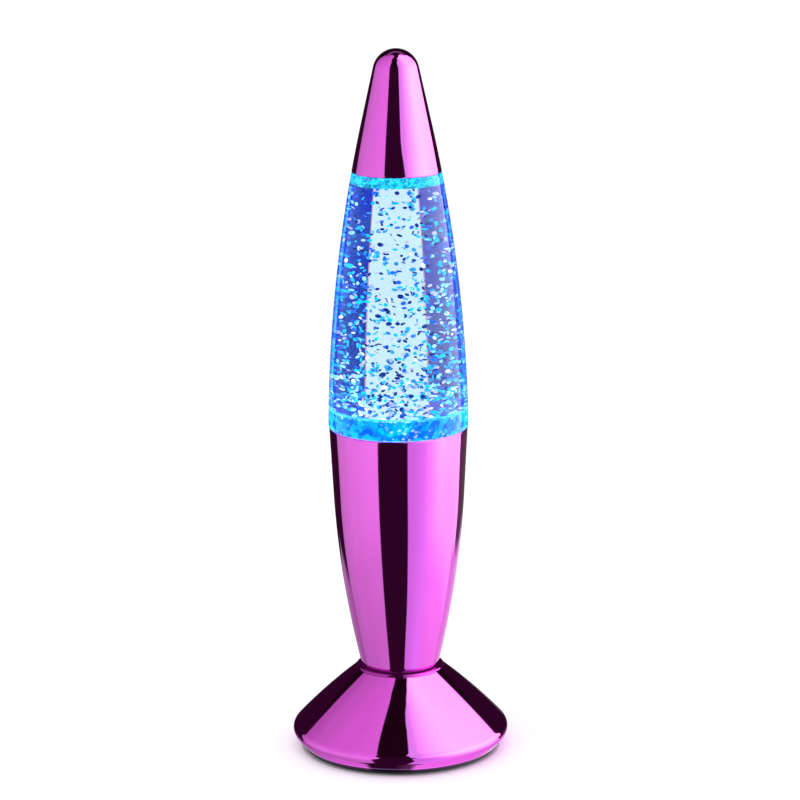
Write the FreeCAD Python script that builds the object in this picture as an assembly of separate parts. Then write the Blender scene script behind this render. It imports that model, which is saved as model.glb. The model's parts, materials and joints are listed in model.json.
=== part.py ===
import FreeCAD, Part
import math
import os
from collections import namedtuple

# Battery glitter lamp: a metallised flared base, a tapering body with a motor and
# lights, a clear bottle of liquid with a magnetic stirrer, and a pointed cap.
# Millimetres. Z is up, the lamp stands on z = 0 and its axis is the Z axis.
# The front is at -Y. Heights are measured from the table.

# Whole lamp: what is stacked from the table up
BASE_HEIGHT = 40.6
BODY_LENGTH = 116.0
BOTTLE_LENGTH = 121.0
CAP_LENGTH = 57.0

# Pointed outline shared by the bottle and the cap
WIDEST_RADIUS = 33.03
WIDEST_DROP = 8.5
BOTTLE_TOP_RADIUS = 20.947
CAP_CURVED_LENGTH = 22.0

# Clearances
SLIDE_CLEARANCE = 0.3
SEAT_CLEARANCE = 0.1
RUNNING_CLEARANCE = 0.06
THREAD_CLEARANCE = 0.08
FILM_CLEARANCE = 0.15

# Base shell
BASE_WALL = 2.0
RIM_ROOM = 13.29
RIM_HEIGHT = 8.95
RIM_ROUND = 4.16
LIP_INSET = 4.85
BASE_LIP_HEIGHT = 1.9
BASE_NECK_STEP = 1.07
BASE_FLANK_CURVE = 280.7
BEAD_ROUND = 0.85
BEAD_SINK = 0.38
SEAM_GAP = 0.4
DECK_THICKNESS = 2.6

# Bottom plate and its feet
FOOT_STAND = 0.5
FOOT_RADIUS = 4.0
FOOT_THICKNESS = 1.0
FOOT_EDGE_ROUND = 0.3
FOOT_DOOR_ROOM = 1.45
PLATE_THICKNESS = 1.8
PLATE_INSET = 0.3
PLATE_EDGE_ROUND = 0.6
REGISTER_HEIGHT = 2.2
REGISTER_WALL = 1.5
PLATE_SCREW_X = 17.5
PLATE_SCREW_ROOM = 2.35
PLATE_SCREW_LENGTH = 9.5
PLATE_BOSS_RADIUS = 4.4
PLATE_BOSS_HEIGHT = 1.7
SHELL_BOSS_RADIUS = 3.4
PLATE_RIB_COUNT = 12
PLATE_RIB_HEIGHT = 1.5
PLATE_RIB_WIDTH = 1.2

# Self-tapping screws, large and small
SCREW_TIP_SHARE = 0.5
SCREW_SIDE_SHARE = 0.4
SCREW_CROWN_SHARE = 0.7
SCREW_RADIUS = 1.4
SCREW_HEAD_RADIUS = 2.6
SCREW_HEAD_HEIGHT = 1.6
SCREW_TIP_ROOM = 1.5
CROSS_WIDTH = 0.7
CROSS_LENGTH = 2.8
CROSS_DEPTH = 0.8
SMALL_SCREW_RADIUS = 1.0
SMALL_HEAD_RADIUS = 1.9
SMALL_HEAD_HEIGHT = 1.2

# Battery cells and bay
CELL_COUNT = 3
CELL_RADIUS = 7.1
CELL_LENGTH = 50.5
CELL_PITCH = 14.8
CELL_NUB_RADIUS = 2.6
CELL_NUB_LENGTH = 1.3
CELL_LIFT = 0.5
CELL_EDGE_ROUND = 0.6
BAY_SIDE_ROOM = 0.35
BAY_WALL = 2.0
BAY_ROOF = 1.6
BAY_RIB_WIDTH = 1.4
BAY_RIB_DEPTH = 1.6
CONTACT_THICKNESS = 0.4
CONTACT_WIDTH = 10.0
CONTACT_HEIGHT = 10.5
CONTACT_TAB_WIDTH = 3.0
CONTACT_TAB_RISE = 1.8
SPRING_LENGTH = 5.7
SPRING_BASE_RADIUS = 5.0
SPRING_TIP_RADIUS = 2.9
SPRING_WIRE_RADIUS = 0.4
SPRING_WIRE_SIDES = 8
SPRING_HALF_TURNS = 5

# Battery door with its captive screw
DOOR_SEAT_WIDTH = 1.1
DOOR_CORNER = 2.0
TONGUE_WIDTH = 4.4
TONGUE_REACH = 2.4
TONGUE_THICKNESS = 1.2
TONGUE_SWEEP_HEIGHT = 2.7
DOOR_SCREW_OFFSET = 4.3
DOOR_EAR_RADIUS = 4.6
DOOR_EAR_RISE = 1.1
DOOR_BOSS_RADIUS = 3.5
DOOR_BOSS_HEIGHT = 8.0
DOOR_BOSS_ROOF = 1.0
DOOR_SCREW_RADIUS = 1.3
DOOR_SCREW_ENGAGEMENT = 3.0
DOOR_SCREW_SWING_ROOM = 0.4
DOOR_HEAD_RADIUS = 2.5
DOOR_HEAD_HEIGHT = 1.2
DOOR_HEAD_SINK = 0.2
NOTCH_RADIUS = 5.0
NOTCH_DEPTH = 0.8

# Slide switch in the underside, behind the battery bay
SWITCH_ROOM = 4.55
SWITCH_TRAVEL = 4.0
POCKET_LENGTH = 13.0
POCKET_WIDTH = 7.0
POCKET_WALL = 1.2
POCKET_DEPTH = 3.5
POCKET_FLOOR = 1.5
KNOB_LENGTH = 4.0
KNOB_WIDTH = 4.0
KNOB_SINK = 0.7
KNOB_GROOVE = 0.5
CARRIAGE_LENGTH = 6.0
CARRIAGE_WIDTH = 4.4
CARRIAGE_HEIGHT = 2.1
SWITCH_WALL = 0.8
SWITCH_HEIGHT = 5.0
SWITCH_EAR_THICKNESS = 0.8
SWITCH_EAR_MARGIN = 2.6
SWITCH_SCREW_ROOM = 3.1
SWITCH_SCREW_LENGTH = 3.2
SWITCH_POST_RADIUS = 2.4
TERMINAL_PITCH = 3.5
TERMINAL_LENGTH = 3.0
TERMINAL_WIDTH = 1.5
TERMINAL_THICKNESS = 0.5

# Body shell
BODY_WALL = 2.0
BODY_TOP_STEP = 0.45
BODY_FOOT_RADIUS = 18.453
BODY_TAPER = 0.053
BODY_STRAIGHT_LENGTH = 31.5
BODY_EDGE_ROUND = 0.5
BODY_FLOOR = 3.0
BODY_STEP = 0.8
BODY_SCREW_COUNT = 3
BODY_SCREW_LENGTH = 12.0
BODY_SCREW_ANGLE = 90
BODY_BOSS_RADIUS = 3.2
BODY_BOSS_HEIGHT = 10.0
BODY_BOSS_ROOM = 1.253
SPIGOT_ROOM = 1.3
SPIGOT_WALL = 1.5
MOUTH_WALL = 1.88
MOUTH_CLEARANCE = 0.2
FRAME_BOSS_RADIUS = 3.4
FRAME_BOSS_HEIGHT = 16.0
FRAME_WEB_DROP = 18.0
FRAME_WEB_WIDTH = 3.0

# Motor, its frame and retainer
MOTOR_RADIUS = 10.05
MOTOR_FLAT_WIDTH = 15.1
MOTOR_CAN_LENGTH = 21.0
MOTOR_CAP_LENGTH = 2.0
BUSHING_RADIUS = 3.0
BUSHING_LENGTH = 1.5
SHAFT_RADIUS = 1.0
SHAFT_TAIL = 0.6
MOTOR_TERMINAL_Y = 5.2
MOTOR_TERMINAL_LENGTH = 5.0
FRAME_THICKNESS = 2.0
FRAME_ROOM = 1.158
FRAME_EDGE_MARGIN = 4.2
FRAME_SCREW_LENGTH = 10.0
FRAME_SCREW_ANGLE = 30
SOCKET_WALL = 1.6
SOCKET_DEPTH = 18.0
RETAINER_THICKNESS = 1.6
RETAINER_LUG_ROOM = 1.15
RETAINER_HALF_WIDTH = 6.5
RETAINER_END_RADIUS = 3.4
RETAINER_SCREW_LENGTH = 9.0
RETAINER_SLOT_ROOM = 0.5
WIRE_PASS_ROOM = 0.5
WIRE_PASS_RADIUS = 1.6
MOTOR_WIRE_ANGLE = 90
SUPPLY_WIRE_ANGLE = 50

# Light board
BOARD_THICKNESS = 1.6
BOARD_INSET = 1.7
BOARD_EDGE_MARGIN = 3.3
BOARD_POST_RADIUS = 2.6
BOARD_SCREW_LENGTH = 5.0
LED_COUNT = 4
LED_SCREW_ROOM = 0.8
LED_TOP_ROOM = 0.6
LED_RADIUS = 2.5
LED_FLANGE_RADIUS = 2.9
LED_FLANGE_HEIGHT = 1.0
LED_BODY_HEIGHT = 5.1
RESISTOR_COUNT = 4
RESISTOR_ANGLE = 18
RESISTOR_LENGTH = 3.2
RESISTOR_WIDTH = 1.6
RESISTOR_HEIGHT = 0.7
CHIP_LENGTH = 5.0
CHIP_WIDTH = 4.0
CHIP_HEIGHT = 1.6
CHIP_ANGLE = 60

# Magnet carrier on the motor shaft
CARRIER_TOP_GAP = 0.5
CARRIER_FRAME_GAP = 1.0
CARRIER_RIM = 0.8
CARRIER_DISC_HEIGHT = 7.0
CARRIER_HUB_RADIUS = 4.0
CARRIER_HUB_HEIGHT = 11.0
CARRIER_RIB_COUNT = 6
CARRIER_RIB_WIDTH = 1.2
MAGNET_RADIUS = 3.0
MAGNET_CIRCLE = 7.0
MAGNET_COUNT = 2
DRIVE_MAGNET_HEIGHT = 3.0
STIRRER_MAGNET_HEIGHT = 2.0
MAGNET_CLEARANCE = 0.05

# Bottle and its floor
BOTTLE_WALL = 2.4
BOTTLE_ROOF = 4.5
BOTTLE_CORNER_ROUND = 1.5
BOTTLE_TOP_ROUND = 0.6
BOTTLE_SPIGOT_WALL = 1.8
BOTTLE_SPIGOT_CLEARANCE = 0.4
BOTTLE_SPIGOT_LENGTH = 6.5
NECK_STEP = 5.447
NECK_HEIGHT = 8.5
FILLER_RADIUS = 5.0
FLOOR_CLEARANCE = 0.15
FLOOR_FLANGE_THICKNESS = 1.5
FLOOR_RISE = 10.0
WELL_ROOM = 2.0
WELL_TOP_ROOM = 0.4
DRIVE_RECESS_ROOM = 1.7
FLOOR_WEB = 3.5
SEAL_RISE = 3.5
SEAL_WIRE_RADIUS = 0.75
SEAL_GROOVE_WIDTH = 1.9

# Stirrer and its pin
PIN_RADIUS = 0.8
PIN_SINK = 2.5
PIN_TOP_ROOM = 0.3
PIN_BOSS_RADIUS = 2.0
PIN_BOSS_HEIGHT = 0.4
STIRRER_HEIGHT = 6.4
STIRRER_RIM = 1.5
STIRRER_DISC_THICKNESS = 2.5
STIRRER_HUB_RADIUS = 3.6
VANE_ANGLE = 45
VANE_ROOT_SHARE = 0.8
VANE_COUNT = 4
VANE_THICKNESS = 1.2
VANE_CURVE = 9.0
VANE_REACH = 0.6
WASHER_RADIUS = 2.2
WASHER_THICKNESS = 0.4

# Glitter: a share of the flakes in the liquid
FLAKE_COUNT = 300
FLAKE_SIDES = 6
FLAKE_RADIUS = 0.7
FLAKE_THICKNESS = 0.12
FLAKE_CLEARANCE = 0.05
FLAKE_ROOM = 0.8
FLAKE_SETTLING = 1.35
FLAKE_LEAN = 20
FLAKE_LEAN_SPREAD = 50
FLAKE_OUTWARD_STEP = 0.7549
FLAKE_TURN_STEP = 0.5698
FLAKE_LEAN_STEP = 0.618
FLAKE_HEADING_STEP = 0.4142

# Filler plug and cap
PLUG_HEAD_RADIUS = 8.0
PLUG_HEAD_HEIGHT = 2.0
PLUG_CLEARANCE = 0.1
PLUG_SEAL_THICKNESS = 0.8
PLUG_END_ROOM = 1.0
PLUG_END_BEVEL = 1.0
CAP_WALL = 1.8
CAP_EDGE_ROUND = 0.4
CAP_RIB_COUNT = 6
CAP_RIB_WIDTH = 1.6
CAP_RIB_HEIGHT = 8.0
CAP_RIB_RISE = 1.0

# Insulated leads
LEAD_RADIUS = 0.7
LEAD_BEND_SHARE = 0.45
LEAD_CLIMB_SHARE = 0.62

# Stack of heights
AXIS = FreeCAD.Vector(0, 0, 1)
ORIGIN = FreeCAD.Vector(0, 0, 0)
PLATE_BOTTOM = FOOT_STAND
PLATE_TOP = PLATE_BOTTOM + PLATE_THICKNESS
DECK_TOP = BASE_HEIGHT
DECK_BOTTOM = DECK_TOP - DECK_THICKNESS
BODY_FOOT_HEIGHT = BASE_HEIGHT + SEAM_GAP
BODY_FLOOR_TOP = BODY_FOOT_HEIGHT + BODY_FLOOR
BODY_TOP_HEIGHT = BODY_FOOT_HEIGHT + BODY_LENGTH
BOTTLE_TOP_HEIGHT = BODY_TOP_HEIGHT + BOTTLE_LENGTH
BOTTLE_ROOF_BOTTOM = BOTTLE_TOP_HEIGHT - BOTTLE_ROOF
NECK_TOP = BOTTLE_TOP_HEIGHT + NECK_HEIGHT
TIP_STRAIGHT_HEIGHT = BOTTLE_TOP_HEIGHT + CAP_CURVED_LENGTH
LAMP_HEIGHT = BOTTLE_TOP_HEIGHT + CAP_LENGTH

# From the bottle's floor down to the motor
FLOOR_TOP_HEIGHT = BODY_TOP_HEIGHT + FLOOR_RISE
WASHER_BOTTOM = FLOOR_TOP_HEIGHT - WELL_TOP_ROOM - WASHER_THICKNESS
STIRRER_TOP = WASHER_BOTTOM - PIN_TOP_ROOM
STIRRER_BOTTOM = STIRRER_TOP - STIRRER_HEIGHT
PIN_SEAT = STIRRER_BOTTOM - SEAT_CLEARANCE
WELL_BOTTOM = PIN_SEAT - PIN_BOSS_HEIGHT
RECESS_TOP = WELL_BOTTOM - FLOOR_WEB
CARRIER_TOP = RECESS_TOP - CARRIER_TOP_GAP
CARRIER_DISC_BOTTOM = CARRIER_TOP - CARRIER_DISC_HEIGHT
CARRIER_HUB_BOTTOM = CARRIER_DISC_BOTTOM - CARRIER_HUB_HEIGHT
FRAME_TOP = CARRIER_HUB_BOTTOM - CARRIER_FRAME_GAP
FRAME_BOTTOM = FRAME_TOP - FRAME_THICKNESS
CAN_BOTTOM = FRAME_BOTTOM - MOTOR_CAN_LENGTH
MOTOR_BOTTOM = CAN_BOTTOM - MOTOR_CAP_LENGTH
SPIGOT_BOTTOM = BODY_TOP_HEIGHT - BOTTLE_SPIGOT_LENGTH
FLOOR_BOTTOM = SPIGOT_BOTTOM - FLOOR_FLANGE_THICKNESS
MOUTH_BOTTOM = FLOOR_BOTTOM - MOUTH_CLEARANCE
SEAL_HEIGHT = SPIGOT_BOTTOM + SEAL_RISE
LED_HEIGHT = LED_FLANGE_HEIGHT + LED_BODY_HEIGHT + LED_RADIUS
BOARD_TOP = FLOOR_BOTTOM - LED_TOP_ROOM - LED_HEIGHT
BOARD_BOTTOM = BOARD_TOP - BOARD_THICKNESS

# Widths from the outside in
BODY_TOP_RADIUS = WIDEST_RADIUS - BODY_TOP_STEP
MOUTH_RADIUS = BODY_TOP_RADIUS - MOUTH_WALL
BOTTLE_SPIGOT_RADIUS = MOUTH_RADIUS - BOTTLE_SPIGOT_CLEARANCE
BOTTLE_SPIGOT_INNER = BOTTLE_SPIGOT_RADIUS - BOTTLE_SPIGOT_WALL
FLOOR_FLANGE_RADIUS = BOTTLE_SPIGOT_RADIUS - SEAT_CLEARANCE
NECK_RADIUS = BOTTLE_TOP_RADIUS - NECK_STEP
BASE_NECK_RADIUS = BODY_FOOT_RADIUS + BASE_NECK_STEP
BODY_SCREW_CIRCLE = BODY_FOOT_RADIUS - BODY_WALL - BODY_BOSS_RADIUS - BODY_BOSS_ROOM
SPIGOT_RADIUS = BODY_SCREW_CIRCLE - BODY_BOSS_RADIUS - SPIGOT_ROOM
WIRE_HOLE_RADIUS = SPIGOT_RADIUS - SPIGOT_WALL
CARRIER_DISC_RADIUS = MAGNET_CIRCLE + MAGNET_RADIUS + CARRIER_RIM
DRIVE_RECESS_RADIUS = CARRIER_DISC_RADIUS + DRIVE_RECESS_ROOM
STIRRER_DISC_RADIUS = MAGNET_CIRCLE + MAGNET_RADIUS + STIRRER_RIM
WELL_RADIUS = STIRRER_DISC_RADIUS + WELL_ROOM
RETAINER_SCREW_X = MOTOR_RADIUS + RETAINER_END_RADIUS + RETAINER_LUG_ROOM

# Battery bay and what stands round it

BAY_LENGTH = CELL_LENGTH + SPRING_LENGTH + 2 * CONTACT_THICKNESS
BAY_WIDTH = CELL_PITCH * (CELL_COUNT - 1) + 2 * (CELL_RADIUS + BAY_SIDE_ROOM)
BAY_X = BAY_LENGTH / 2
BAY_Y = BAY_WIDTH / 2
DOOR_TOP = PLATE_TOP - SEAT_CLEARANCE
CELL_AXIS_HEIGHT = DOOR_TOP + CELL_LIFT + CELL_RADIUS
BAY_ROOF_BOTTOM = CELL_AXIS_HEIGHT + CELL_RADIUS + BAY_SIDE_ROOM
BAY_TOP = BAY_ROOF_BOTTOM + BAY_ROOF
DOOR_X = BAY_X + DOOR_SEAT_WIDTH - SLIDE_CLEARANCE
DOOR_Y = BAY_Y + DOOR_SEAT_WIDTH - SLIDE_CLEARANCE
DOOR_SCREW_X = BAY_X + BAY_WALL + DOOR_SCREW_OFFSET
FOOT_SPREAD = DOOR_Y + FOOT_RADIUS + FOOT_DOOR_ROOM
PLATE_SCREW_Y = BAY_Y + BAY_WALL + PLATE_BOSS_RADIUS + PLATE_SCREW_ROOM
SWITCH_Y = BAY_Y + BAY_WALL + SWITCH_ROOM + POCKET_WALL + POCKET_WIDTH / 2
SWITCH_SCREW_X = POCKET_LENGTH / 2 + SWITCH_SCREW_ROOM
SWITCH_EAR_END = SWITCH_SCREW_X + SWITCH_EAR_MARGIN
RIM_RADIUS = math.hypot(BAY_X, BAY_Y) + BAY_WALL + RIM_ROOM
BASE_LIP_RADIUS = RIM_RADIUS - LIP_INSET
PLATE_RADIUS = BASE_LIP_RADIUS - PLATE_INSET
EAR_TOP = PLATE_TOP + DOOR_EAR_RISE - SEAT_CLEARANCE
POCKET_ROOF = PLATE_BOTTOM + POCKET_DEPTH
SWITCH_SEAT = POCKET_ROOF + POCKET_FLOOR
LAST_CELL_Y = CELL_PITCH * (CELL_COUNT - 1) / 2

Bend = namedtuple("Bend", "through to")


def at(radius, height):
    """Point of a half outline in the XZ plane."""
    return FreeCAD.Vector(radius, 0, height)


def turned(start, *steps):
    """Solid of revolution about Z. A step is a point to draw straight to, or a Bend."""
    edges = []
    here = start
    for step in steps + (start,):
        there = step.to if isinstance(step, Bend) else step
        if isinstance(step, Bend):
            edges.append(Part.Arc(at(*here), at(*step.through), at(*there)).toShape())
        elif math.dist(here, there) > 1e-6:
            edges.append(Part.makeLine(at(*here), at(*there)))
        here = there
    return Part.Face(Part.Wire(edges)).revolve(ORIGIN, AXIS, 360)


def polar(centre, radius, degrees):
    """Point at an angle on a circle of the half outline."""
    angle = math.radians(degrees)
    return (centre[0] + radius * math.cos(angle), centre[1] + radius * math.sin(angle))


def bend(centre, radius, first, last):
    """Arc step about a centre, between two angles in degrees."""
    return Bend(polar(centre, radius, (first + last) / 2), polar(centre, radius, last))


def cylinder(radius, bottom, top, x=0, y=0):
    return Part.makeCylinder(radius, top - bottom, FreeCAD.Vector(x, y, bottom), AXIS)


def ring(outer, inner, bottom, top, x=0, y=0):
    return cylinder(outer, bottom, top, x, y).cut(cylinder(inner, bottom, top, x, y))


def box(x_low, x_high, y_low, y_high, bottom, top):
    corner = FreeCAD.Vector(x_low, y_low, bottom)
    return Part.makeBox(x_high - x_low, y_high - y_low, top - bottom, corner)


def centred_box(length, width, bottom, top, x=0, y=0):
    return box(x - length / 2, x + length / 2, y - width / 2, y + width / 2, bottom, top)


def rounded_slab(half_length, half_width, corner, bottom, top):
    """Upright slab with rounded corners, centred on the Z axis."""
    slab = box(-half_length, half_length, -half_width, half_width, bottom, top)
    upright = [edge for edge in slab.Edges if abs(edge.tangentAt(edge.FirstParameter).z) > 0.5]
    return slab.makeFillet(corner, upright)


def web(outline, width):
    """Flat web in the XZ plane, centred on it, from (x, z) points."""
    points = [FreeCAD.Vector(x, -width / 2, z) for x, z in outline]
    face = Part.Face(Part.makePolygon(points + points[:1]))
    return face.extrude(FreeCAD.Vector(0, width, 0))


def turned_about_axis(shape, degrees):
    copy = shape.copy()
    copy.rotate(ORIGIN, AXIS, degrees)
    return copy


def around(shape, count, first=0.0):
    """Copies of a shape, evenly spaced about the lamp's axis."""
    return [turned_about_axis(shape, first + 360.0 * index / count) for index in range(count)]


def fused(first, *others):
    return first.multiFuse(list(others)).removeSplitter()


def cut(shape, *tools):
    return shape.cut(list(tools))


def screw(x, y, seat, length, shank, head, head_height, heads_up):
    """Pan-head screw with a cross recess, its head's underside on the seat."""
    crown = head * SCREW_CROWN_SHARE
    body = turned((0, -length), (shank * SCREW_TIP_SHARE, -length), (shank, -length + shank),
                  (shank, 0), (head, 0), (head, head_height * SCREW_SIDE_SHARE),
                  (crown, head_height), (0, head_height))
    reach = head_height - min(CROSS_DEPTH, head_height / 2)
    arm_length = min(CROSS_LENGTH, 2 * crown)
    body = cut(body, centred_box(arm_length, CROSS_WIDTH, reach, head_height),
               centred_box(CROSS_WIDTH, arm_length, reach, head_height))
    if not heads_up:
        body.rotate(ORIGIN, FreeCAD.Vector(1, 0, 0), 180)
    body.translate(FreeCAD.Vector(x, y, seat))
    return body


def plain_screw(x, y, seat, length, heads_up):
    return screw(x, y, seat, length, SCREW_RADIUS, SCREW_HEAD_RADIUS, SCREW_HEAD_HEIGHT, heads_up)


def small_screw(x, y, seat, length, heads_up):
    return screw(x, y, seat, length, SMALL_SCREW_RADIUS, SMALL_HEAD_RADIUS, SMALL_HEAD_HEIGHT,
                 heads_up)


def place(radius, degrees):
    """(x, y) at a radius and an angle about the lamp's axis."""
    return polar((0, 0), radius, degrees)


# Outer forms of the shells, each set inwards by an inset

WIDEST_HEIGHT = BODY_TOP_HEIGHT - WIDEST_DROP


def flank_curve():
    """Radius of the arc from the widest point to the bottle's top edge."""
    rise = BOTTLE_TOP_HEIGHT - WIDEST_HEIGHT
    inward = WIDEST_RADIUS - BOTTLE_TOP_RADIUS
    return (rise ** 2 + inward ** 2) / (2 * inward)


FLANK_CURVE = flank_curve()


def flank_radius(height, inset=0.0):
    """Radius of the pointed outline at a height."""
    rise = height - WIDEST_HEIGHT
    return WIDEST_RADIUS - FLANK_CURVE + math.sqrt((FLANK_CURVE - inset) ** 2 - rise ** 2)


def flank_to(first, last, inset=0.0):
    """Step along the pointed outline between two heights."""
    middle = (first + last) / 2
    return Bend((flank_radius(middle, inset), middle), (flank_radius(last, inset), last))


def flank_corner(height, radius):
    """Centre of an edge round and the point where it meets the pointed outline."""
    centre = (flank_radius(height, radius), height)
    slope = math.degrees(math.asin((height - WIDEST_HEIGHT) / (FLANK_CURVE - radius)))
    return centre, slope, polar(centre, radius, slope)


def tip_round(inset=0.0):
    """Centre height, radius and start angle of the cap's round tip."""
    slope = math.asin((TIP_STRAIGHT_HEIGHT - WIDEST_HEIGHT) / FLANK_CURVE)
    start = flank_radius(TIP_STRAIGHT_HEIGHT)
    drop = (TIP_STRAIGHT_HEIGHT - LAMP_HEIGHT) * math.sin(slope)
    radius = (start * math.cos(slope) + drop) / (1 - math.sin(slope))
    return (0, LAMP_HEIGHT - radius), radius - inset, math.degrees(slope)


def straight_start(inset=0.0):
    """Point where the cap's curved flank turns into its straight taper."""
    _, _, slope = tip_round()
    centre = (WIDEST_RADIUS - FLANK_CURVE, WIDEST_HEIGHT)
    return polar(centre, FLANK_CURVE - inset, slope)


def cap_form(bottom, inset):
    """Solid inside the cap's outline, set inwards, from a height up."""
    centre, radius, slope = tip_round(inset)
    turn = straight_start(inset)
    return turned((0, bottom), (flank_radius(bottom, inset), bottom),
                  flank_to(bottom, turn[1], inset), polar(centre, radius, slope),
                  bend(centre, radius, slope, 90))


def body_arc(inset):
    """Centre and radius of the body's curved lower flank, and its start angle.

    The arc leaves the straight upper flank without a corner and ends at the foot."""
    lean = math.atan(BODY_TAPER)
    start = (BODY_TOP_RADIUS - BODY_TAPER * BODY_STRAIGHT_LENGTH,
             BODY_TOP_HEIGHT - BODY_STRAIGHT_LENGTH)
    inward = start[0] - BODY_FOOT_RADIUS
    drop = start[1] - BODY_FOOT_HEIGHT
    offset = inward * math.cos(lean) - drop * math.sin(lean)
    curve = (inward ** 2 + drop ** 2) / (2 * offset)
    centre = polar(start, curve, 180 - math.degrees(lean))
    return centre, curve - inset, -math.degrees(lean)


def body_radius(height, inset=0.0):
    """Radius of the body's outline at a height."""
    centre, radius, lean = body_arc(inset)
    start = polar(centre, radius, lean)
    if height > start[1]:
        return start[0] + (height - start[1]) * BODY_TAPER
    return centre[0] + math.sqrt(radius ** 2 - (height - centre[1]) ** 2)


def body_angle(height, inset):
    centre, radius, _ = body_arc(inset)
    return math.degrees(math.asin((height - centre[1]) / radius))


def body_form(bottom, top, inset):
    """Solid inside the body's outline, set inwards, between two heights."""
    centre, radius, lean = body_arc(inset)
    return turned((0, bottom), (body_radius(bottom, inset), bottom),
                  bend(centre, radius, body_angle(bottom, inset), lean),
                  (body_radius(top, inset), top), (0, top))


def rim_centre():
    return (RIM_RADIUS - RIM_ROUND, RIM_HEIGHT)


def bevel_lean():
    """Lean in degrees of the straight lower bevel, which is tangent to the rim round."""
    run = rim_centre()[0] - BASE_LIP_RADIUS
    rise = RIM_HEIGHT - BASE_LIP_HEIGHT
    touch = math.asin(RIM_ROUND / math.hypot(run, rise))
    return math.degrees(math.atan2(rise, run) - touch)


def bevel_radius(height, inset):
    """Radius of the lower bevel at a height."""
    tangent = polar(rim_centre(), RIM_ROUND - inset, bevel_lean() - 90)
    return tangent[0] - (tangent[1] - height) / math.tan(math.radians(bevel_lean()))


def base_flank():
    """Centre of the curved upper flank, which leaves the rim round and meets the neck."""
    rim = rim_centre()
    neck = (BASE_NECK_RADIUS, DECK_TOP)
    span = math.dist(rim, neck)
    reach = BASE_FLANK_CURVE - RIM_ROUND
    along = (reach ** 2 - BASE_FLANK_CURVE ** 2 + span ** 2) / (2 * span)
    aside = math.sqrt(reach ** 2 - along ** 2)
    toward = math.degrees(math.atan2(neck[1] - rim[1], neck[0] - rim[0]))
    return polar(rim, reach, toward + math.degrees(math.atan2(aside, along)))


def base_flank_start():
    """Angle in degrees at which the upper flank leaves the rim round."""
    rim = rim_centre()
    centre = base_flank()
    return math.degrees(math.atan2(rim[1] - centre[1], rim[0] - centre[0]))


def base_flank_angle(height, inset):
    rise = height - base_flank()[1]
    return math.degrees(math.asin(rise / (BASE_FLANK_CURVE - inset)))


def base_radius(height, inset=0.0):
    """Radius of the base's upper flank at a height."""
    angle = base_flank_angle(height, inset)
    return polar(base_flank(), BASE_FLANK_CURVE - inset, angle)[0]


def base_side(bottom, inset, last_angle):
    """Outline steps of the base from the lip up to an angle on its upper flank."""
    round_radius = RIM_ROUND - inset
    first = bevel_lean() - 90
    crest = base_flank_start()
    return [(bevel_radius(bottom, inset), bottom), polar(rim_centre(), round_radius, first),
            bend(rim_centre(), round_radius, first, crest),
            bend(base_flank(), BASE_FLANK_CURVE - inset, crest, last_angle)]


def base_form(bottom, top, inset):
    """Solid inside the base's outline, set inwards, between two heights."""
    steps = base_side(bottom, inset, base_flank_angle(top, inset))
    return turned((0, bottom), *steps, (0, top))


def base_outside():
    """Solid of the base's outer form, with the bead round its top edge."""
    height = DECK_TOP - BEAD_ROUND
    centre = (base_radius(height, BEAD_SINK), height)
    flank = base_flank()
    span = math.dist(centre, flank)
    along = (BASE_FLANK_CURVE ** 2 - BEAD_ROUND ** 2 + span ** 2) / (2 * span)
    aside = math.sqrt(BASE_FLANK_CURVE ** 2 - along ** 2)
    lean = math.atan2(centre[1] - flank[1], centre[0] - flank[0])
    crease_angle = math.degrees(lean - math.atan2(aside, along))
    crease = polar(flank, BASE_FLANK_CURVE, crease_angle)
    bead_start = math.degrees(math.atan2(crease[1] - centre[1], crease[0] - centre[0]))
    steps = base_side(BASE_LIP_HEIGHT, 0, crease_angle)
    return turned((0, BASE_LIP_HEIGHT), *steps, bend(centre, BEAD_ROUND, bead_start, 90),
                  (0, DECK_TOP))


FRAME_RADIUS = body_radius(FRAME_BOTTOM, BODY_WALL) - FRAME_ROOM
FRAME_SCREW_CIRCLE = FRAME_RADIUS - FRAME_EDGE_MARGIN
BOARD_OUTER_RADIUS = FRAME_RADIUS - BOARD_INSET
BOARD_INNER_RADIUS = DRIVE_RECESS_RADIUS
BOARD_SCREW_CIRCLE = BOARD_OUTER_RADIUS - BOARD_EDGE_MARGIN
LED_CIRCLE = BOARD_SCREW_CIRCLE - SMALL_HEAD_RADIUS - LED_FLANGE_RADIUS - LED_SCREW_ROOM
WIRE_PASS_CIRCLE = BOARD_SCREW_CIRCLE - BOARD_POST_RADIUS - WIRE_PASS_RADIUS - WIRE_PASS_ROOM


def round_body(shape):
    """A shape and its copies at the three places of the body's fasteners."""
    return around(shape, BODY_SCREW_COUNT, BODY_SCREW_ANGLE)


def round_frame(shape):
    """A shape and its copies at the three places of the motor frame's fasteners."""
    return around(shape, BODY_SCREW_COUNT, FRAME_SCREW_ANGLE)


def save(name, *solids):
    """Write one node, a closed solid or a group of them."""
    shape = solids[0] if len(solids) == 1 else Part.makeCompound(list(solids))
    if not shape.isValid() or shape.Volume <= 0:
        raise ValueError(name + " is not a sound solid")
    shape.exportStep("parts/" + name + ".step")
    print(f"{name:22s} solids {len(shape.Solids):2d}  volume {shape.Volume:10.1f}")


# Base

PLATE_SCREW_PLACES = [(side * PLATE_SCREW_X, end * PLATE_SCREW_Y)
                      for side in (-1, 1) for end in (-1, 1)]
FOOT_PLACES = [(side * FOOT_SPREAD, end * FOOT_SPREAD) for side in (-1, 1) for end in (-1, 1)]
PLATE_BOSS_TOP = PLATE_TOP + PLATE_BOSS_HEIGHT
PLATE_SCREW_SEAT = PLATE_BOTTOM + SCREW_HEAD_HEIGHT + SLIDE_CLEARANCE


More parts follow.
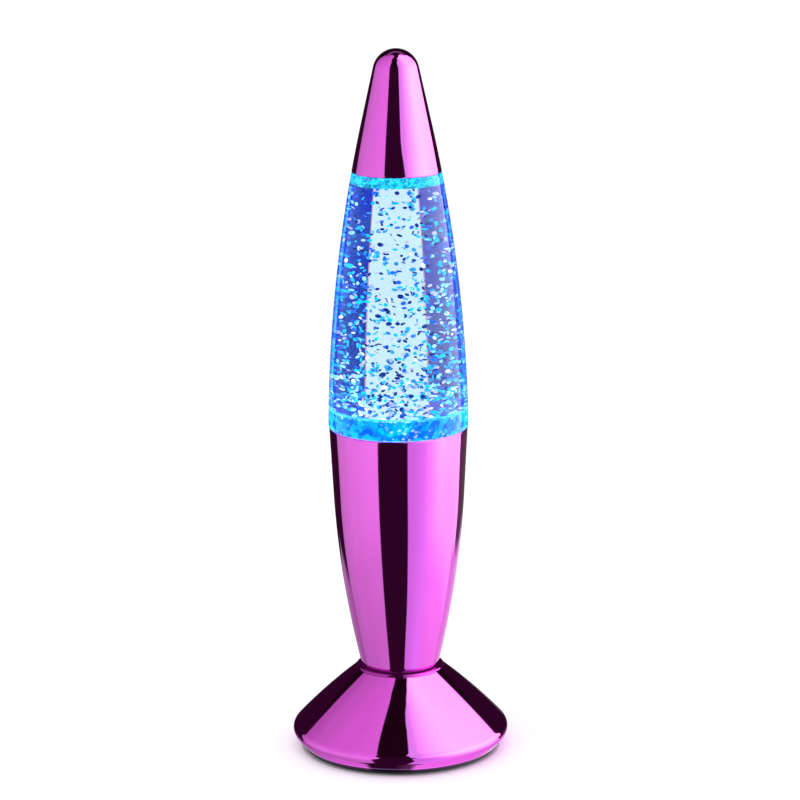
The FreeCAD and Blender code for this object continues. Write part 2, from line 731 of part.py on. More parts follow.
def base_shell():
    """Flared metallised shell with a flat deck, screw bosses and a bead at its neck."""
    shell = base_outside().cut(base_form(BASE_LIP_HEIGHT, DECK_BOTTOM, BASE_WALL))
    bosses = [cylinder(SHELL_BOSS_RADIUS, PLATE_BOSS_TOP, DECK_BOTTOM, x, y)
              for x, y in PLATE_SCREW_PLACES]
    inside = base_form(BASE_LIP_HEIGHT, DECK_TOP, BASE_WALL / 2)
    shell = fused(shell, *[boss.common(inside) for boss in bosses])
    thread = SCREW_RADIUS + THREAD_CLEARANCE
    depth = PLATE_SCREW_SEAT + PLATE_SCREW_LENGTH + SCREW_TIP_ROOM
    holes = [cylinder(thread, PLATE_BOSS_TOP, depth, x, y) for x, y in PLATE_SCREW_PLACES]
    body_hole = cylinder(SCREW_RADIUS + SLIDE_CLEARANCE, DECK_BOTTOM, DECK_TOP, BODY_SCREW_CIRCLE)
    holes += round_body(body_hole)
    centre_hole = cylinder(SPIGOT_RADIUS + SLIDE_CLEARANCE, DECK_BOTTOM, DECK_TOP)
    return cut(shell, centre_hole, *holes)


def plate_disc():
    """Round floor of the base with the ring that centres it in the shell."""
    edge = PLATE_EDGE_ROUND
    centre = (PLATE_RADIUS - edge, PLATE_BOTTOM + edge)
    register = bevel_radius(BASE_LIP_HEIGHT, BASE_WALL) - SLIDE_CLEARANCE
    return turned((0, PLATE_BOTTOM), (centre[0], PLATE_BOTTOM), bend(centre, edge, -90, 0),
                  (PLATE_RADIUS, BASE_LIP_HEIGHT), (register, BASE_LIP_HEIGHT),
                  (register, PLATE_TOP + REGISTER_HEIGHT),
                  (register - REGISTER_WALL, PLATE_TOP + REGISTER_HEIGHT),
                  (register - REGISTER_WALL, PLATE_TOP), (0, PLATE_TOP))


def bay_walls():
    """Battery bay: four walls and a roof with ribs between the cells."""
    outside = rounded_slab(BAY_X + BAY_WALL, BAY_Y + BAY_WALL, DOOR_CORNER, PLATE_TOP, BAY_TOP)
    inside = centred_box(BAY_LENGTH, BAY_WIDTH, PLATE_TOP, BAY_ROOF_BOTTOM)
    bay = outside.cut(inside)
    rib_length = BAY_LENGTH - 2 * SPRING_LENGTH
    ribs = [centred_box(rib_length, BAY_RIB_WIDTH, BAY_ROOF_BOTTOM - BAY_RIB_DEPTH, BAY_TOP, 0, y)
            for y in cell_gaps()]
    return fused(bay, *ribs)


def cell_gaps():
    """Y of the middle between each cell and the next."""
    return [CELL_PITCH * (index + 0.5) - LAST_CELL_Y for index in range(CELL_COUNT - 1)]


def cell_rows():
    return [CELL_PITCH * index - LAST_CELL_Y for index in range(CELL_COUNT)]


def door_tongue(y):
    """Hook on the door's hinge edge that reaches over the plate."""
    bottom = PLATE_TOP + 2 * SEAT_CLEARANCE
    half = TONGUE_WIDTH / 2
    root = box(-DOOR_X, -DOOR_X + TONGUE_REACH, y - half, y + half, PLATE_BOTTOM,
               bottom + TONGUE_THICKNESS)
    hook = box(-DOOR_X - TONGUE_REACH, -DOOR_X, y - half, y + half, bottom,
               bottom + TONGUE_THICKNESS)
    return root.fuse(hook)


def tongue_slot(y):
    """Room in the bay's wall for a tongue and its swing."""
    half = TONGUE_WIDTH / 2 + SLIDE_CLEARANCE
    return box(-BAY_X - BAY_WALL, -BAY_X, y - half, y + half, PLATE_TOP,
               PLATE_TOP + TONGUE_SWEEP_HEIGHT)


def switch_pocket():
    """Walls, floor and screw posts of the recess that the switch sits on."""
    wall = 2 * POCKET_WALL
    pocket = centred_box(POCKET_LENGTH + wall, POCKET_WIDTH + wall, PLATE_TOP, SWITCH_SEAT,
                         0, SWITCH_Y)
    posts = [cylinder(SWITCH_POST_RADIUS, PLATE_TOP, SWITCH_SEAT, side * SWITCH_SCREW_X, SWITCH_Y)
             for side in (-1, 1)]
    return pocket.fuse(posts)


def switch_openings():
    """The recess, the knob's slot and the pilot holes of the switch screws."""
    recess = centred_box(POCKET_LENGTH, POCKET_WIDTH, PLATE_BOTTOM, POCKET_ROOF, 0, SWITCH_Y)
    slot = centred_box(KNOB_LENGTH + SWITCH_TRAVEL + 2 * SLIDE_CLEARANCE,
                       KNOB_WIDTH + 2 * SLIDE_CLEARANCE, POCKET_ROOF, SWITCH_SEAT, 0, SWITCH_Y)
    pilot = SMALL_SCREW_RADIUS + THREAD_CLEARANCE
    depth = SWITCH_SEAT + SWITCH_EAR_THICKNESS - SWITCH_SCREW_LENGTH - SLIDE_CLEARANCE
    holes = [cylinder(pilot, depth, SWITCH_SEAT, side * SWITCH_SCREW_X, SWITCH_Y)
             for side in (-1, 1)]
    return [recess, slot] + holes


def door_outline(clearance, bottom, top):
    """Door panel with its ear, grown by a clearance for the opening."""
    panel = rounded_slab(DOOR_X + clearance, DOOR_Y + clearance, DOOR_CORNER, bottom, top)
    ear = cylinder(DOOR_EAR_RADIUS + clearance, bottom, top, DOOR_SCREW_X)
    half = DOOR_EAR_RADIUS + clearance
    neck = box(DOOR_X - DOOR_CORNER, DOOR_SCREW_X, -half, half, bottom, top)
    return fused(panel, ear, neck)


def plate_ribs():
    """Stiffening ribs that run in from the register ring."""
    outer = bevel_radius(BASE_LIP_HEIGHT, BASE_WALL) - SLIDE_CLEARANCE - REGISTER_WALL / 2
    rib = box(0, outer, -PLATE_RIB_WIDTH / 2, PLATE_RIB_WIDTH / 2, PLATE_TOP,
              PLATE_TOP + PLATE_RIB_HEIGHT)
    return around(rib, PLATE_RIB_COUNT)


def bottom_plate():
    """Floor of the base with the battery bay, switch pocket, bosses and ribs."""
    bay_block = rounded_slab(BAY_X + BAY_WALL, BAY_Y + BAY_WALL, DOOR_CORNER, PLATE_TOP, BAY_TOP)
    ear_room = cylinder(DOOR_EAR_RADIUS + SLIDE_CLEARANCE, PLATE_TOP, BAY_TOP, DOOR_SCREW_X)
    ribs = [rib.cut([bay_block, ear_room]) for rib in plate_ribs()]
    bosses = [cylinder(PLATE_BOSS_RADIUS, PLATE_TOP, PLATE_BOSS_TOP, x, y)
              for x, y in PLATE_SCREW_PLACES]
    boss_bottom = EAR_TOP + SEAT_CLEARANCE
    door_boss = cylinder(DOOR_BOSS_RADIUS, boss_bottom, boss_bottom + DOOR_BOSS_HEIGHT,
                         DOOR_SCREW_X)
    door_web = centred_box(DOOR_BOSS_RADIUS, DOOR_BOSS_RADIUS, boss_bottom,
                           boss_bottom + DOOR_BOSS_HEIGHT,
                           DOOR_SCREW_X - DOOR_BOSS_RADIUS, 0)
    plate = fused(plate_disc(), bay_walls(), switch_pocket(), door_boss, door_web, *ribs, *bosses)
    head = SCREW_HEAD_RADIUS + SLIDE_CLEARANCE
    tools = [cylinder(head, PLATE_BOTTOM, PLATE_SCREW_SEAT, x, y) for x, y in PLATE_SCREW_PLACES]
    tools += [cylinder(SCREW_RADIUS + SLIDE_CLEARANCE, PLATE_SCREW_SEAT, PLATE_BOSS_TOP, x, y)
              for x, y in PLATE_SCREW_PLACES]
    foot_recess = FOOT_THICKNESS - FOOT_STAND
    tools += [cylinder(FOOT_RADIUS + SEAT_CLEARANCE, PLATE_BOTTOM, PLATE_BOTTOM + foot_recess,
                       x, y) for x, y in FOOT_PLACES]
    tools += [tongue_slot(y) for y in cell_gaps()]
    tools += [contact_tab_slot(side, y) for side, y in TAB_PLACES]
    tools.append(door_outline(SLIDE_CLEARANCE, PLATE_BOTTOM, PLATE_TOP))
    bore = DOOR_SCREW_RADIUS + DOOR_SCREW_SWING_ROOM
    tools.append(cylinder(bore, boss_bottom, boss_bottom + DOOR_BOSS_HEIGHT - DOOR_BOSS_ROOF,
                          DOOR_SCREW_X))
    return cut(plate, *tools, *switch_openings())


def battery_door():
    """Door panel with two hinge tongues, a screw ear and a nail notch."""
    door = door_outline(0, PLATE_BOTTOM, DOOR_TOP)
    ear_boss = cylinder(DOOR_BOSS_RADIUS - SLIDE_CLEARANCE, PLATE_BOTTOM, EAR_TOP, DOOR_SCREW_X)
    door = fused(door, ear_boss, *[door_tongue(y) for y in cell_gaps()])
    head_room = cylinder(DOOR_HEAD_RADIUS + SLIDE_CLEARANCE, PLATE_BOTTOM, door_head_seat(),
                         DOOR_SCREW_X)
    shank_room = cylinder(DOOR_SCREW_RADIUS + RUNNING_CLEARANCE, PLATE_BOTTOM, EAR_TOP,
                          DOOR_SCREW_X)
    notch = Part.makeSphere(NOTCH_RADIUS)
    notch.translate(FreeCAD.Vector(DOOR_X - NOTCH_RADIUS, DOOR_Y / 2,
                                   PLATE_BOTTOM + NOTCH_DEPTH - NOTCH_RADIUS))
    return cut(door, head_room, shank_room, notch)


def door_head_seat():
    return PLATE_BOTTOM + DOOR_HEAD_SINK + DOOR_HEAD_HEIGHT


def door_screw():
    length = EAR_TOP - door_head_seat() + DOOR_SCREW_ENGAGEMENT
    return screw(DOOR_SCREW_X, 0, door_head_seat(), length, DOOR_SCREW_RADIUS, DOOR_HEAD_RADIUS,
                 DOOR_HEAD_HEIGHT, False)


def foot_pads():
    pads = []
    for x, y in FOOT_PLACES:
        edge = FOOT_EDGE_ROUND
        pad = turned((0, 0), (FOOT_RADIUS - edge, 0), (FOOT_RADIUS, edge),
                     (FOOT_RADIUS, FOOT_THICKNESS), (0, FOOT_THICKNESS))
        pad.translate(FreeCAD.Vector(x, y, 0))
        pads.append(pad)
    return pads


def plate_screws():
    return [plain_screw(x, y, PLATE_SCREW_SEAT, PLATE_SCREW_LENGTH, False)
            for x, y in PLATE_SCREW_PLACES]


# Battery cells, contacts and springs. Side 1 is the +X end of the bay and side -1 the -X end.

def cell_side(index):
    """Side that a cell's nub points to: neighbours lie opposite ways."""
    return 1 if index % 2 == 0 else -1


TAB_PLACES = [(-1, cell_rows()[0]), (1, cell_rows()[-1])]
CONTACT_FACE = BAY_X - CONTACT_THICKNESS
CONTACT_BOTTOM = CELL_AXIS_HEIGHT - CONTACT_HEIGHT / 2 + CONTACT_THICKNESS
CONTACT_TOP = CONTACT_BOTTOM + CONTACT_HEIGHT
TAB_TOP = BAY_TOP + CONTACT_TAB_RISE


def contact_tab_slot(side, y):
    reach = SEAT_CLEARANCE
    x_low, x_high = sorted((side * (CONTACT_FACE - reach), side * BAY_X))
    half = CONTACT_TAB_WIDTH / 2 + reach
    return box(x_low, x_high, y - half, y + half, BAY_ROOF_BOTTOM, BAY_TOP)


def contact_plate(side, y_low, y_high):
    """Flat contact against an end wall of the bay."""
    x_low, x_high = sorted((side * CONTACT_FACE, side * BAY_X))
    half = CONTACT_WIDTH / 2
    return box(x_low, x_high, y_low - half, y_high + half, CONTACT_BOTTOM, CONTACT_TOP)


def tabbed_contact(side, y):
    """End contact of the row of cells, with a solder tab through the bay's roof."""
    x_low, x_high = sorted((side * CONTACT_FACE, side * BAY_X))
    half = CONTACT_TAB_WIDTH / 2
    tab = box(x_low, x_high, y - half, y + half, CONTACT_TOP - CONTACT_THICKNESS, TAB_TOP)
    return fused(contact_plate(side, y, y), tab)


def battery_cell(index, y):
    """Cylindrical cell with its nub on the contact and its flat end on the spring."""
    length = CELL_LENGTH - CELL_NUB_LENGTH
    edge = CELL_EDGE_ROUND
    low = (CELL_RADIUS - edge, edge)
    high = (CELL_RADIUS - edge, length - edge)
    cell = turned((0, 0), (low[0], 0), bend(low, edge, -90, 0), (CELL_RADIUS, high[1]),
                  bend(high, edge, 0, 90), (CELL_NUB_RADIUS, length),
                  (CELL_NUB_RADIUS, CELL_LENGTH), (0, CELL_LENGTH))
    side = cell_side(index)
    cell.rotate(ORIGIN, FreeCAD.Vector(0, 1, 0), 90 * side)
    cell.translate(FreeCAD.Vector(side * (CONTACT_FACE - CELL_LENGTH), y, CELL_AXIS_HEIGHT))
    return cell


def wire_section(centre, across, up):
    """Section of the spring wire, with a few flat sides in place of a circle."""
    up = FreeCAD.Vector(up).normalize()
    points = []
    for side in range(SPRING_WIRE_SIDES + 1):
        angle = 2 * math.pi * side / SPRING_WIRE_SIDES
        spoke = across * math.cos(angle) + up * math.sin(angle)
        points.append(centre + spoke * SPRING_WIRE_RADIUS)
    return Part.Face(Part.makePolygon(points))


def contact_spring(index, y):
    """Conical spring wound in half circles, each a little smaller than the last."""
    solids = []
    step = (SPRING_LENGTH - 2 * SPRING_WIRE_RADIUS) / SPRING_HALF_TURNS
    base = SPRING_BASE_RADIUS - SPRING_WIRE_RADIUS
    shrink = (SPRING_BASE_RADIUS - SPRING_TIP_RADIUS) / SPRING_HALF_TURNS
    for half in range(SPRING_HALF_TURNS):
        hand = 1 if half % 2 == 0 else -1
        rise = SPRING_WIRE_RADIUS + half * step
        start = FreeCAD.Vector(hand * (base - half * shrink), 0, rise)
        end = FreeCAD.Vector(-hand * (base - (half + 1) * shrink), 0, rise + step)
        travel = FreeCAD.Vector(0, hand, 0)
        chord = (end - start).normalize()
        axis = travel.cross(chord)
        solids.append(wire_section(start, chord, axis).revolve((start + end) * 0.5, axis, 180))
    spring = fused(*solids)
    side = -cell_side(index)
    spring.rotate(ORIGIN, FreeCAD.Vector(0, 1, 0), -90 * side)
    spring.translate(FreeCAD.Vector(side * CONTACT_FACE, y, CELL_AXIS_HEIGHT))
    return spring


# Slide switch

SWITCH_TOP = SWITCH_SEAT + SWITCH_HEIGHT
CARRIAGE_BOTTOM = SWITCH_SEAT + SLIDE_CLEARANCE
CARRIAGE_TOP = CARRIAGE_BOTTOM + CARRIAGE_HEIGHT


def switch_case():
    """Switch housing with two screw ears and the hollow that its slider runs in."""
    hollow_length = CARRIAGE_LENGTH + SWITCH_TRAVEL + 2 * SLIDE_CLEARANCE
    hollow_width = CARRIAGE_WIDTH + 2 * SLIDE_CLEARANCE
    case = centred_box(hollow_length + 2 * SWITCH_WALL, hollow_width + 2 * SWITCH_WALL,
                       SWITCH_SEAT, SWITCH_TOP, 0, SWITCH_Y)
    ears = centred_box(2 * SWITCH_EAR_END, hollow_width, SWITCH_SEAT,
                       SWITCH_SEAT + SWITCH_EAR_THICKNESS, 0, SWITCH_Y)
    hollow = centred_box(hollow_length, hollow_width, SWITCH_SEAT, CARRIAGE_TOP + SLIDE_CLEARANCE,
                         0, SWITCH_Y)
    holes = [cylinder(SMALL_SCREW_RADIUS + SEAT_CLEARANCE, SWITCH_SEAT,
                      SWITCH_SEAT + SWITCH_EAR_THICKNESS, side * SWITCH_SCREW_X, SWITCH_Y)
             for side in (-1, 1)]
    return cut(fused(case, ears), hollow, *holes)


def switch_knob():
    """Grooved knob and its slider, at the ON end of the travel."""
    middle = SWITCH_TRAVEL / 2
    bottom = PLATE_BOTTOM + KNOB_SINK
    knob = centred_box(KNOB_LENGTH, KNOB_WIDTH, bottom, CARRIAGE_BOTTOM, middle, SWITCH_Y)
    carriage = centred_box(CARRIAGE_LENGTH, CARRIAGE_WIDTH, CARRIAGE_BOTTOM, CARRIAGE_TOP,
                           middle, SWITCH_Y)
    pitch = KNOB_LENGTH / 4
    grooves = [centred_box(KNOB_GROOVE, KNOB_WIDTH, bottom, bottom + KNOB_GROOVE,
                           middle + pitch * step, SWITCH_Y) for step in (-1, 0, 1)]
    return cut(fused(knob, carriage), *grooves)


def switch_terminals():
    return [centred_box(TERMINAL_THICKNESS, TERMINAL_WIDTH, SWITCH_TOP,
                        SWITCH_TOP + TERMINAL_LENGTH, TERMINAL_PITCH * step, SWITCH_Y)
            for step in (-1, 0, 1)]


def switch_screws():
    seat = SWITCH_SEAT + SWITCH_EAR_THICKNESS
    return [small_screw(side * SWITCH_SCREW_X, SWITCH_Y, seat, SWITCH_SCREW_LENGTH, True)
            for side in (-1, 1)]


# Body

def body_shell():
    """Tapering metallised housing with a spigot below and bosses for the motor frame."""
    edge = BODY_EDGE_ROUND
    centre, curve, lean = body_arc(0)
    foot = BODY_FOOT_HEIGHT
    low = (body_radius(foot + edge, edge), foot + edge)
    low_angle = body_angle(foot + edge, edge)
    high = (body_radius(BODY_TOP_HEIGHT - edge) - edge, BODY_TOP_HEIGHT - edge)
    step = body_radius(foot) - BODY_STEP
    outside = turned((0, DECK_TOP), (step, DECK_TOP), (step, foot), (low[0], foot),
                     bend(low, edge, -90, low_angle), bend(centre, curve, low_angle, lean),
                     (high[0] + edge, high[1]), bend(high, edge, 0, 90), (0, BODY_TOP_HEIGHT))
    shell = outside.cut(body_form(BODY_FLOOR_TOP, BODY_TOP_HEIGHT, BODY_WALL))
    spigot = cylinder(SPIGOT_RADIUS, DECK_BOTTOM, BODY_FLOOR_TOP)
    boss = cylinder(BODY_BOSS_RADIUS, BODY_FOOT_HEIGHT, BODY_FLOOR_TOP + BODY_BOSS_HEIGHT,
                    BODY_SCREW_CIRCLE)
    frame_bosses = [part.common(body_form(BODY_FLOOR_TOP, FRAME_BOTTOM, BODY_WALL / 2))
                    for part in round_frame(frame_boss())]
    shell = fused(shell, spigot, *round_body(boss), *frame_bosses)
    thread = SCREW_RADIUS + THREAD_CLEARANCE
    depth = DECK_BOTTOM + BODY_SCREW_LENGTH + SCREW_TIP_ROOM
    pilot = cylinder(thread, DECK_TOP, depth, BODY_SCREW_CIRCLE)
    frame_depth = FRAME_TOP - FRAME_SCREW_LENGTH - SCREW_TIP_ROOM
    frame_pilot = cylinder(thread, frame_depth, FRAME_BOTTOM, FRAME_SCREW_CIRCLE)
    return cut(shell, cylinder(MOUTH_RADIUS, MOUTH_BOTTOM, BODY_TOP_HEIGHT),
               cylinder(WIRE_HOLE_RADIUS, DECK_BOTTOM, BODY_FLOOR_TOP),
               *round_body(pilot), *round_frame(frame_pilot))


def frame_boss():
    """Boss for a motor frame screw with the tapering web that ties it to the wall."""
    bottom = FRAME_BOTTOM - FRAME_BOSS_HEIGHT
    post = cylinder(FRAME_BOSS_RADIUS, bottom, FRAME_BOTTOM, FRAME_SCREW_CIRCLE)
    wall = body_radius(FRAME_BOTTOM)
    gusset = web([(FRAME_SCREW_CIRCLE, bottom), (FRAME_SCREW_CIRCLE, FRAME_BOTTOM),
                  (wall, FRAME_BOTTOM), (wall, bottom - FRAME_WEB_DROP)], FRAME_WEB_WIDTH)
    return post.fuse(gusset)


def body_screws():
    driven = plain_screw(BODY_SCREW_CIRCLE, 0, DECK_BOTTOM, BODY_SCREW_LENGTH, False)
    return round_body(driven)


# Motor

def motor_section(radius, flat_width, bottom, top):
    """Round section with two flats, as small direct-current motors have."""
    return cylinder(radius, bottom, top).common(centred_box(2 * radius, flat_width, bottom, top))


def motor_can():
    can = motor_section(MOTOR_RADIUS, MOTOR_FLAT_WIDTH, CAN_BOTTOM, FRAME_BOTTOM)
    return can.cut(cylinder(BUSHING_RADIUS, CAN_BOTTOM, FRAME_BOTTOM))


def motor_end_cap():
    cap = motor_section(MOTOR_RADIUS, MOTOR_FLAT_WIDTH, MOTOR_BOTTOM, CAN_BOTTOM)
    slots = [centred_box(TERMINAL_WIDTH, TERMINAL_THICKNESS, MOTOR_BOTTOM, CAN_BOTTOM, 0,
                         side * MOTOR_TERMINAL_Y) for side in (-1, 1)]
    return cut(cap, cylinder(BUSHING_RADIUS, MOTOR_BOTTOM, CAN_BOTTOM), *slots)


def motor_bushings():
    """Two plain bearings: one through each end of the motor, standing a little proud."""
    bore = SHAFT_RADIUS + RUNNING_CLEARANCE
    low = ring(BUSHING_RADIUS, bore, MOTOR_BOTTOM - BUSHING_LENGTH, CAN_BOTTOM)
    high = ring(BUSHING_RADIUS, bore, FRAME_BOTTOM - BUSHING_LENGTH,
                FRAME_BOTTOM + BUSHING_LENGTH)
    return [low, high]


def motor_shaft():
    """Shaft with the armature's core on it, running in the two bushings."""
    bottom = MOTOR_BOTTOM - BUSHING_LENGTH - SHAFT_TAIL
    top = CARRIER_TOP - DRIVE_MAGNET_HEIGHT
    core_bottom = CAN_BOTTOM + SLIDE_CLEARANCE
    core_top = FRAME_BOTTOM - BUSHING_LENGTH - SLIDE_CLEARANCE
    core = BUSHING_RADIUS - SLIDE_CLEARANCE
    return turned((0, bottom), (SHAFT_RADIUS, bottom), (SHAFT_RADIUS, core_bottom),
                  (core, core_bottom), (core, core_top), (SHAFT_RADIUS, core_top),
                  (SHAFT_RADIUS, top), (0, top))


def motor_terminals():
    bottom = MOTOR_BOTTOM - MOTOR_TERMINAL_LENGTH
    return [centred_box(TERMINAL_WIDTH, TERMINAL_THICKNESS, bottom, CAN_BOTTOM, 0,
                        side * MOTOR_TERMINAL_Y) for side in (-1, 1)]


def motor_frame():
    """Round bridge in the body with the motor's socket and the light board's posts."""
    disc = cylinder(FRAME_RADIUS, FRAME_BOTTOM, FRAME_TOP)
    socket_bottom = FRAME_BOTTOM - SOCKET_DEPTH
    socket = motor_section(MOTOR_RADIUS + SOCKET_WALL, MOTOR_FLAT_WIDTH + 2 * SOCKET_WALL,
                           socket_bottom, FRAME_BOTTOM)
    lugs = [cylinder(RETAINER_END_RADIUS, MOTOR_BOTTOM, FRAME_BOTTOM, side * RETAINER_SCREW_X)
            for side in (-1, 1)]
    post = cylinder(BOARD_POST_RADIUS, FRAME_BOTTOM, BOARD_BOTTOM, BOARD_SCREW_CIRCLE)
    frame = fused(disc, socket, *lugs, *round_body(post))
    motor_room = motor_section(MOTOR_RADIUS + SEAT_CLEARANCE,
                               MOTOR_FLAT_WIDTH + 2 * SEAT_CLEARANCE, MOTOR_BOTTOM, FRAME_BOTTOM)
    thread = SCREW_RADIUS + THREAD_CLEARANCE
    depth = MOTOR_BOTTOM - RETAINER_THICKNESS + RETAINER_SCREW_LENGTH + SCREW_TIP_ROOM
    lug_holes = [cylinder(thread, MOTOR_BOTTOM, depth, side * RETAINER_SCREW_X)
                 for side in (-1, 1)]
    small_thread = SMALL_SCREW_RADIUS + THREAD_CLEARANCE
    post_hole = cylinder(small_thread, FRAME_BOTTOM, BOARD_BOTTOM, BOARD_SCREW_CIRCLE)
    frame_hole = cylinder(SCREW_RADIUS + SLIDE_CLEARANCE, FRAME_BOTTOM, FRAME_TOP,
                          FRAME_SCREW_CIRCLE)
    pass_angles = [angle + turn for angle in (MOTOR_WIRE_ANGLE, SUPPLY_WIRE_ANGLE)
                   for turn in (0, 180)]
    wire_pass = [cylinder(WIRE_PASS_RADIUS, FRAME_BOTTOM, FRAME_TOP,
                          *place(WIRE_PASS_CIRCLE, angle)) for angle in pass_angles]
    shaft_hole = cylinder(BUSHING_RADIUS + SEAT_CLEARANCE, FRAME_BOTTOM, FRAME_TOP)
    return cut(frame, motor_room, shaft_hole, *lug_holes, *wire_pass,
               *round_body(post_hole), *round_frame(frame_hole))


def motor_retainer():
    """Strap under the motor, screwed to the frame's two lugs."""
    bottom = MOTOR_BOTTOM - RETAINER_THICKNESS
    half = RETAINER_HALF_WIDTH
    strap = box(-RETAINER_SCREW_X, RETAINER_SCREW_X, -half, half, bottom, MOTOR_BOTTOM)
    ends = [cylinder(RETAINER_END_RADIUS, bottom, MOTOR_BOTTOM, side * RETAINER_SCREW_X)
            for side in (-1, 1)]
    holes = [cylinder(SCREW_RADIUS + SEAT_CLEARANCE, bottom, MOTOR_BOTTOM,
                      side * RETAINER_SCREW_X) for side in (-1, 1)]
    room = 2 * RETAINER_SLOT_ROOM
    slots = [centred_box(TERMINAL_WIDTH + room, TERMINAL_THICKNESS + room, bottom, MOTOR_BOTTOM,
                         0, side * MOTOR_TERMINAL_Y) for side in (-1, 1)]
    return cut(fused(strap, *ends), cylinder(BUSHING_RADIUS + SLIDE_CLEARANCE, bottom,
                                             MOTOR_BOTTOM), *holes, *slots)


def retainer_screws():
    seat = MOTOR_BOTTOM - RETAINER_THICKNESS
    return [plain_screw(side * RETAINER_SCREW_X, 0, seat, RETAINER_SCREW_LENGTH, False)
            for side in (-1, 1)]


def frame_screws():
    driven = plain_screw(FRAME_SCREW_CIRCLE, 0, FRAME_TOP, FRAME_SCREW_LENGTH, True)
    return round_frame(driven)


# Light board

def led_board():
    board = ring(BOARD_OUTER_RADIUS, BOARD_INNER_RADIUS, BOARD_BOTTOM, BOARD_TOP)
    hole = cylinder(SMALL_SCREW_RADIUS + SEAT_CLEARANCE, BOARD_BOTTOM, BOARD_TOP,
                    BOARD_SCREW_CIRCLE)
    access = cylinder(SCREW_HEAD_RADIUS + SLIDE_CLEARANCE, BOARD_BOTTOM, BOARD_TOP,
                      FRAME_SCREW_CIRCLE)
    return cut(board, *round_body(hole), *round_frame(access))


def board_screws():
    driven = small_screw(BOARD_SCREW_CIRCLE, 0, BOARD_TOP, BOARD_SCREW_LENGTH, True)
    return round_body(driven)


def led(index):
    """Round light-emitting diode with its flange and domed lens."""
    flange_top = BOARD_TOP + LED_FLANGE_HEIGHT
    dome = (0, flange_top + LED_BODY_HEIGHT)
    body = turned((0, BOARD_TOP), (LED_FLANGE_RADIUS, BOARD_TOP), (LED_FLANGE_RADIUS, flange_top),
                  (LED_RADIUS, flange_top), (LED_RADIUS, dome[1]), bend(dome, LED_RADIUS, 0, 90))
    x, y = place(LED_CIRCLE, led_angle(index))
    body.translate(FreeCAD.Vector(x, y, 0))
    return body


def led_angle(index):
    return 360.0 * index / LED_COUNT


def board_resistors():
    parts = []
    for index in range(RESISTOR_COUNT):
        chip = centred_box(RESISTOR_WIDTH, RESISTOR_LENGTH, BOARD_TOP,
                           BOARD_TOP + RESISTOR_HEIGHT, LED_CIRCLE)
        parts.append(turned_about_axis(chip, led_angle(index) + RESISTOR_ANGLE))
    return parts


def board_chip():
    chip = centred_box(CHIP_WIDTH, CHIP_LENGTH, BOARD_TOP, BOARD_TOP + CHIP_HEIGHT, LED_CIRCLE)
    return turned_about_axis(chip, CHIP_ANGLE)


# Magnetic drive and stirrer

def magnet_pair(bottom, height):
    """The magnets lie on one line through the axis, poles apart."""
    return around(cylinder(MAGNET_RADIUS, bottom, bottom + height, MAGNET_CIRCLE), MAGNET_COUNT)


def magnet_pockets(bottom, height):
    radius = MAGNET_RADIUS + MAGNET_CLEARANCE
    return around(cylinder(radius, bottom, bottom + height, MAGNET_CIRCLE), MAGNET_COUNT)


def magnet_carrier():
    """Hub and ribbed cup on the motor shaft that holds the driving magnets."""
    hub_bottom = CARRIER_HUB_BOTTOM
    disc_bottom = CARRIER_DISC_BOTTOM
    wall = CARRIER_RIB_WIDTH
    floor = CARRIER_TOP - DRIVE_MAGNET_HEIGHT - wall
    disc = turned((0, hub_bottom), (CARRIER_HUB_RADIUS, hub_bottom), (CARRIER_HUB_RADIUS, floor),
                  (CARRIER_DISC_RADIUS - wall, floor), (CARRIER_DISC_RADIUS - wall, disc_bottom),
                  (CARRIER_DISC_RADIUS, disc_bottom), (CARRIER_DISC_RADIUS, CARRIER_TOP),
                  (0, CARRIER_TOP))
    rib = box(CARRIER_HUB_RADIUS / 2, CARRIER_DISC_RADIUS - wall / 2, -wall / 2, wall / 2,
              disc_bottom, floor)
    carrier = fused(disc, *around(rib, CARRIER_RIB_COUNT))
    bore = cylinder(SHAFT_RADIUS, hub_bottom, CARRIER_TOP - DRIVE_MAGNET_HEIGHT)
    return cut(carrier, bore, *magnet_pockets(CARRIER_TOP - DRIVE_MAGNET_HEIGHT,
                                              DRIVE_MAGNET_HEIGHT))


def stirrer_vane():
    """Curved vane that leans back as it runs out from the hub to the disc's edge."""
    inner = STIRRER_HUB_RADIUS * VANE_ROOT_SHARE
    outer = STIRRER_DISC_RADIUS - VANE_REACH
    sweep = ring(VANE_CURVE + VANE_THICKNESS / 2, VANE_CURVE - VANE_THICKNESS / 2,
                 STIRRER_BOTTOM + STIRRER_DISC_THICKNESS / 2, STIRRER_TOP, inner, -VANE_CURVE)
    reach = ring(outer, inner, STIRRER_BOTTOM, STIRRER_TOP)
    forward = box(0, outer, -outer, outer, STIRRER_BOTTOM, STIRRER_TOP)
    return sweep.common(reach).common(forward)


def stirrer_rotor():
    """Disc with curved vanes and a long hub that turns on the fixed pin."""
    top = STIRRER_BOTTOM + STIRRER_DISC_THICKNESS
    disc = turned((0, STIRRER_BOTTOM), (STIRRER_DISC_RADIUS, STIRRER_BOTTOM),
                  (STIRRER_DISC_RADIUS, top), (STIRRER_HUB_RADIUS, top),
                  (STIRRER_HUB_RADIUS, STIRRER_TOP - VANE_REACH),
                  (STIRRER_HUB_RADIUS - VANE_REACH, STIRRER_TOP), (0, STIRRER_TOP))
    rotor = fused(disc, *around(stirrer_vane(), VANE_COUNT, VANE_ANGLE))
    return cut(rotor, cylinder(PIN_RADIUS + RUNNING_CLEARANCE, STIRRER_BOTTOM, STIRRER_TOP),
               *magnet_pockets(STIRRER_BOTTOM, STIRRER_MAGNET_HEIGHT))


def stirrer_pin():
    """Steel pin pressed into the bottle's floor."""
    return cylinder(PIN_RADIUS, WELL_BOTTOM - PIN_SINK, WASHER_BOTTOM + WASHER_THICKNESS)


